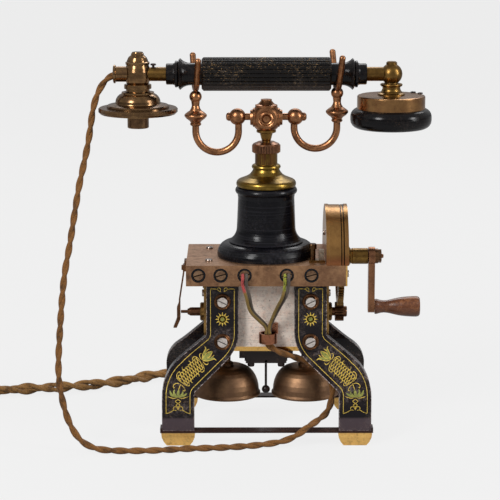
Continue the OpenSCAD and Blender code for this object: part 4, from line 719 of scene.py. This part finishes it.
# Bells and clapper: turned gongs in brown bronze with a soft shine, each on its post, and a japanned iron
# frame that carries the clapper. The coils of the ringer are wound with copper wire.
dress(metal("gong_bronze", (140, 108, 80), (114, 86, 66), (78, 58, 46), (186, 144, 102), (0.5, 0.3, 0.5),
            scale=30.0, rough=(0.46, 0.6), relief=0.000004), "left_gong", "right_gong", "gong_posts")
japanned = blacked("japanned_iron", (44, 34, 32), (104, 84, 76), (130, 94, 68), rub=0.6, flecks=0.4,
                   rough=(0.3, 0.6), shine=0.3)
dress(japanned, "ringer_bracket", "clapper")
dress(metal("coil_copper", (150, 88, 52), (104, 58, 36), (40, 22, 16), (200, 130, 84), (0.5, 0.5, 0.3),
            scale=120.0, rough=(0.3, 0.55)), "ringer_coils")


# Magnet legs: bent steel bars under black lacquer, chipped along their edges, whose pale colour there is
# partly worn lacquer and partly a painted highlight, and greyer near the floor. Screws in brass cups hold
# them to the pole pieces, and lacquered straps tie their feet.
# Painted highlight: the pale rubbed colour along the edges of the legs is partly a highlight laid into the
# lacquer's colour.
leg_lacquer = blacked("leg_lacquer", (20, 16, 20), (206, 188, 184), (180, 142, 100), rub=0.95, flecks=0.8,
                      rough=(0.16, 0.45), edge_width=0.0014, cover=0.02, smears=0.3)
tree = leg_lacquer.node_tree
black_z, grey_z = 0.0235, 0.0215
painted_over(leg_lacquer, times(tree, between(tree, "Z", black_z, grey_z), 0.42), paint(104, 88, 94))
dress(leg_lacquer, "left_magnet", "right_magnet")
dress(blacked("strap_lacquer", (44, 28, 26), (96, 64, 52), (140, 100, 70), rub=0.5, flecks=0.4,
              rough=(0.2, 0.5)), "tie_straps")


# Crank grip: turned hardwood under old varnish, flecked with dark dirt. It turns on its own spindle.
# Its shine is that of a thick varnish, rubbed through to a paler wood.
dress(blacked("grip_wood", (92, 52, 30), (168, 108, 60), (40, 22, 14), rub=0.7, flecks=0.5, rough=(0.2, 0.45),
              shine=0.5), "crank_grip")


# Small screws of the handset: blackened iron heads, one on a stem in the tube and two flat in the can's top.
# Each is turned from a profile, with its slot sawn across as a groove between two raised halves.
def added_piece(name, bm, material):
    """The finished mesh as a new piece of one material."""
    mesh = bpy.data.meshes.new(name)
    bm.normal_update()
    bm.to_mesh(mesh)
    bm.free()
    mesh.materials.append(material)
    return add_object(name, mesh)


def turned_screw(bm, place, head_radius, head_height, stem_height, turn):
    """Adds one screw, head up. Its stem starts a little below the surface that it stands in."""
    sides, half_sides = 20, 10
    slot_half = 0.16 * head_radius
    slot_floor = stem_height + 0.55 * head_height
    stem_radius, sunk = 0.45 * head_radius, -0.3
    bands = [(stem_radius, sunk), (stem_radius, stem_height), (0.94 * head_radius, stem_height),
             (head_radius, stem_height + 0.2 * head_height), (head_radius, slot_floor)]
    raised = [(head_radius, slot_floor), (head_radius, stem_height + 0.75 * head_height),
              (0.75 * head_radius, stem_height + head_height)]
    angles = [math.tau * k / sides for k in range(sides)]
    rings = [[bm.verts.new((r * math.cos(a), r * math.sin(a), z)) for a in angles] for r, z in bands]
    for low, high in zip(rings, rings[1:]):
        for k in range(sides):
            bm.faces.new((low[k], low[(k + 1) % sides], high[(k + 1) % sides], high[k]))
    bm.faces.new(rings[-1])
    bm.faces.new(rings[0][::-1])
    new_verts = [v for ring in rings for v in ring]
    for half in (-1, 1):
        lines = []
        for r, z in raised:
            first = math.asin(slot_half / r)
            arc = [first + (math.pi - 2 * first) * k / half_sides for k in range(half_sides + 1)]
            lines.append([bm.verts.new((r * math.cos(half * a), r * math.sin(half * a), z)) for a in arc])
        faces = [(low[k], low[k + 1], high[k + 1], high[k])
                 for low, high in zip(lines, lines[1:]) for k in range(half_sides)]
        faces += [(low[0], high[0], high[-1], low[-1]) for low, high in zip(lines, lines[1:])]
        for corners in faces + [lines[-1], lines[0][::-1]]:
            bm.faces.new(corners if half > 0 else corners[::-1])
        new_verts += [v for line in lines for v in line]
    cos_turn, sin_turn = math.cos(turn), math.sin(turn)
    for v in new_verts:
        x, y, z = v.co
        turned = (x * cos_turn - y * sin_turn, x * sin_turn + y * cos_turn, z)
        v.co = [(p + q) / 1000 for p, q in zip(place, turned)]


bm = bmesh.new()
for place, head_radius, head_height, stem_height, turn in (
        ((-90.8, 0, 298.8), 2.3, 1.4, 1.5, 0.5), ((119.6, 16.0, 275.9), 2.2, 1.0, 0.2, 1.2),
        ((124.7, 9.0, 275.9), 2.2, 1.0, 0.2, -0.3)):
    turned_screw(bm, place, head_radius, head_height, stem_height, turn)
handset_screws = added_piece("handset_screws", bm, japanned)
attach(handset_screws, "handset")


# Gilding on the legs: line panels, suns, palmettes and strapwork, painted in gold and green-gold over the
# lacquer and worn thin. Each stroke is drawn flat along the bar and laid on its bent outer face.
leg_top, floor_end, half_bar = 128.3, 12.0, 4.25
leg_x, foot_x, lean_x = 35.55, 71.1, math.radians(50)
leg_y, foot_y, lean_y = 28.75, 52.0, math.radians(40)
bend_height_x, bend_height_y = 46, 40
upper_bend_x, lower_bend_x = leg_top - 41.3, leg_top - 87.3
upper_bend_y, lower_bend_y = 73.3, 33.3


def bend_radius(across, down, lean):
    """The radius of two equal bends that carry a bar sideways and down, and turn it by the lean and back."""
    return ((across * math.cos(lean) - down * math.sin(lean))
            / (2 * (1 - math.cos(lean)) * math.cos(lean) - 2 * math.sin(lean) ** 2))


def bar_line():
    """Points along the middle of the bar in front view, each with its run and the direction to its side."""
    radius = bend_radius(foot_x - leg_x, bend_height_x, lean_x)
    turns = [(math.cos(lean_x * i / 16), math.sin(lean_x * i / 16)) for i in range(17)]
    stops = [(leg_x, leg_top, 1.0, 0.0)]
    stops += [(leg_x + radius - radius * c, upper_bend_x - radius * s, c, s) for c, s in turns]
    stops += [(foot_x - radius + radius * c, lower_bend_x + radius * s, c, s) for c, s in reversed(turns)]
    stops.append((foot_x, floor_end, 1.0, 0.0))
    runs = [0.0]
    for a, b in zip(stops, stops[1:]):
        runs.append(runs[-1] + math.hypot(b[0] - a[0], b[1] - a[1]))
    return stops, runs


def face_line():
    """Height and depth along the outer face of the bar in side view, in the same flats as the CAD bar."""
    radius = bend_radius(foot_y - leg_y, bend_height_y, lean_y)
    inner, outer = radius - half_bar, radius + half_bar
    turns = [(math.cos(lean_y * i / 8), math.sin(lean_y * i / 8)) for i in range(9)]
    line = [(leg_top, leg_y + half_bar)]
    line += [(upper_bend_y - inner * s, leg_y + radius - inner * c) for c, s in turns]
    line += [(lower_bend_y + outer * s, foot_y - radius + outer * c) for c, s in reversed(turns)]
    return line + [(floor_end, foot_y + half_bar)]


bar_stops, bar_runs = bar_line()
face_stops = face_line()


def on_leg(side, run, lift=0.07):
    """The place on the front right leg of a point drawn at a distance beside and along the bar."""
    run = min(max(run, 0.0), bar_runs[-1])
    i = next(k for k in range(len(bar_runs) - 1) if run <= bar_runs[k + 1])
    t = (run - bar_runs[i]) / max(bar_runs[i + 1] - bar_runs[i], 1e-6)
    x, z, aside_x, aside_z = (a + (b - a) * t for a, b in zip(bar_stops[i], bar_stops[i + 1]))
    x, z = x + side * aside_x, z + side * aside_z
    for (z0, y0), (z1, y1) in zip(face_stops, face_stops[1:]):
        if z1 <= z <= z0 and z0 > z1:
            y = y0 + (y1 - y0) * (z0 - z) / (z0 - z1)
            break
    else:
        y = face_stops[-1][1] if z < floor_end else face_stops[0][1]
    return x / 1000, -(y + lift) / 1000, z / 1000


def arc_points(side, run, radius, start, end, count=8):
    angles = [math.radians(start + (end - start) * i / count) for i in range(count + 1)]
    return [(side + radius * math.sin(a), run - radius * math.cos(a)) for a in angles]


panel_x, panel_end, sun_run = 9.6, 116.4, 29.7
wave_start, wave_width, wave_length = 71.5, 4.7, 4.1
half_of_gold = [
    ([(panel_x, t) for t in range(5, 116, 3)] + [(panel_x, panel_end)], 0.44, "even"),
    ([(panel_x, 4.6), (6.5, 4.6), (4.2, 5.0), (2.6, 6.4), (1.2, 6.8)], 0.46, "even"),
    (arc_points(2.9, 5.2, 1.5, 180, 450), 0.46, "leaf"),
    ([(panel_x, panel_end), (6.6, 115.4), (3.6, 113.6), (1.4, 113.8)], 0.46, "even"),
    (arc_points(2.2, 112.2, 1.6, 180, -110), 0.5, "leaf"),
    ([(0.3, 69.5), (2.8, 66.8), (4.2, 63.8), (5.4, 61.6), (7.4, 61.0)], 1.0, "leaf"),
    ([(0, 69.5), (1.5, 66.4), (1.8, 63.0), (0.2, 59.0)], 0.7, "leaf"),
    ([(2.4, 66.4), (3.0, 63.6), (3.4, 61.6), (3.1, 59.8)], 0.8, "leaf"),
    ([(0.6, 69.8), (3.4, 69.6), (4.9, 68.2), (4.2, 66.9)], 0.6, "leaf"),
    ([(0.8, 71), (4.4, 71.6), (6.4, 73.4), (5.8, 75.4), (4.6, 74.6)], 0.5, "leaf"),
    ([(0.8, 92.4), (4.4, 91.6), (6.4, 90.0), (5.8, 88.0), (4.6, 88.8)], 0.5, "leaf"),
    (arc_points(5.7, 79.2, 1.3, 180, 430), 0.46, "leaf"),
    (arc_points(5.7, 84.4, 1.3, 0, -250), 0.46, "leaf"),
    ([(0, 93.5), (3.0, 94.2), (5.0, 96.0), (4.2, 97.4), (3.2, 96.6)], 0.5, "leaf"),
    ([(0, 104.8), (2.1, 106.3), (0.3, 108.0), (1.6, 109.4), (0, 111.0)], 0.5, "even"),
    ([(0.6, 103.4), (3.4, 103.9), (6.4, 103.2), (8.2, 102.6)], 0.55, "leaf")]
half_of_green = [
    ([(0, 102.9), (3.0, 102.2), (5.4, 101.2), (7.0, 99.0)], 1.9, "leaf"),
    ([(0.4, 103.0), (2.2, 101.6), (3.6, 99.8), (3.2, 98.0)], 1.5, "leaf"),
    ([(1.0, 68.4), (2.7, 65.4), (3.9, 62.8), (5.0, 61.4)], 2.0, "leaf")]
gold_strokes, green_strokes = (
    [([(hand * side, run) for side, run in points], width, form)
     for hand in (-1, 1) for points, width, form in half_drawn]
    for half_drawn in (half_of_gold, half_of_green))
for phase in range(4):
    gold_strokes.append(([(wave_width * math.sin(math.pi * (t / wave_length + phase / 2)), wave_start + t)
                          for t in (wave_length / 10 * k for k in range(51))], 0.42, "even"))
for k in range(12):
    angle = math.radians(30 * k)
    ray_line = [(r * math.sin(angle), sun_run - r * math.cos(angle)) for r in (1.6, 3.0, 4.4, 5.9)]
    gold_strokes.append((ray_line, 2.3, "spike"))
gold_strokes += [(arc_points(0, sun_run, 2.5, 0, 360, 20), 0.9, "even"),
                 ([(0, 98.0), (0, 95.5), (0, 93)], 0.6, "leaf"),
                 ([(0, 113.6), (0, 112.4), (0, 111)], 0.8, "leaf")]
green_strokes += [(arc_points(0, sun_run, 0.75, 0, 360, 12), 1.5, "even"),
                  ([(0, 103.4), (0, 101.4), (0, 99.4), (0, 97.6)], 2.2, "leaf"),
                  ([(0, 69.2), (0, 66), (0, 62.5), (0, 59.6)], 2.8, "leaf")]


def gilded(name, strokes, material):
    """Lays every stroke on all four legs as thin strips, as one piece."""
    bm = bmesh.new()
    for points, width, form in strokes:
        line = smooth_route([(side, run, 0) for side, run in points], 3)
        for mirror_x, mirror_y in ((1, 1), (-1, 1), (1, -1), (-1, -1)):
            last = None
            for i, place in enumerate(line):
                ahead = (line[min(i + 1, len(line) - 1)] - line[max(i - 1, 0)]).normalized()
                share = i / (len(line) - 1)
                half = width / 2 * {"even": 1.0, "leaf": 0.12 + 0.88 * math.sin(math.pi * share) ** 0.7,
                                    "spike": 1.0 - 0.95 * share}[form]
                pair = []
                for hand in (-1, 1):
                    x, y, z = on_leg(place.x - hand * ahead.y * half, place.y + hand * ahead.x * half)
                    pair.append(bm.verts.new((x * mirror_x, y * mirror_y, z)))
                if last:
                    corners = (last[0], last[1], pair[1], pair[0])
                    bm.faces.new(corners if mirror_x * mirror_y > 0 else corners[::-1])
                last = pair
    piece = added_piece(name, bm, material)
    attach(piece, "root")


gilded("leg_gilding", gold_strokes, metal(
    "gold_paint", (248, 212, 96), (196, 158, 66), (40, 32, 26), (248, 220, 120), (0.35, 0.9, 0.0),
    scale=260.0, rough=(0.34, 0.6), metallic=0.55))
gilded("leg_green_gilding", green_strokes, metal(
    "green_gold_paint", (158, 158, 74), (112, 118, 56), (34, 34, 26), (180, 176, 92), (0.45, 1.0, 0.0),
    scale=260.0, rough=(0.38, 0.6), metallic=0.3))
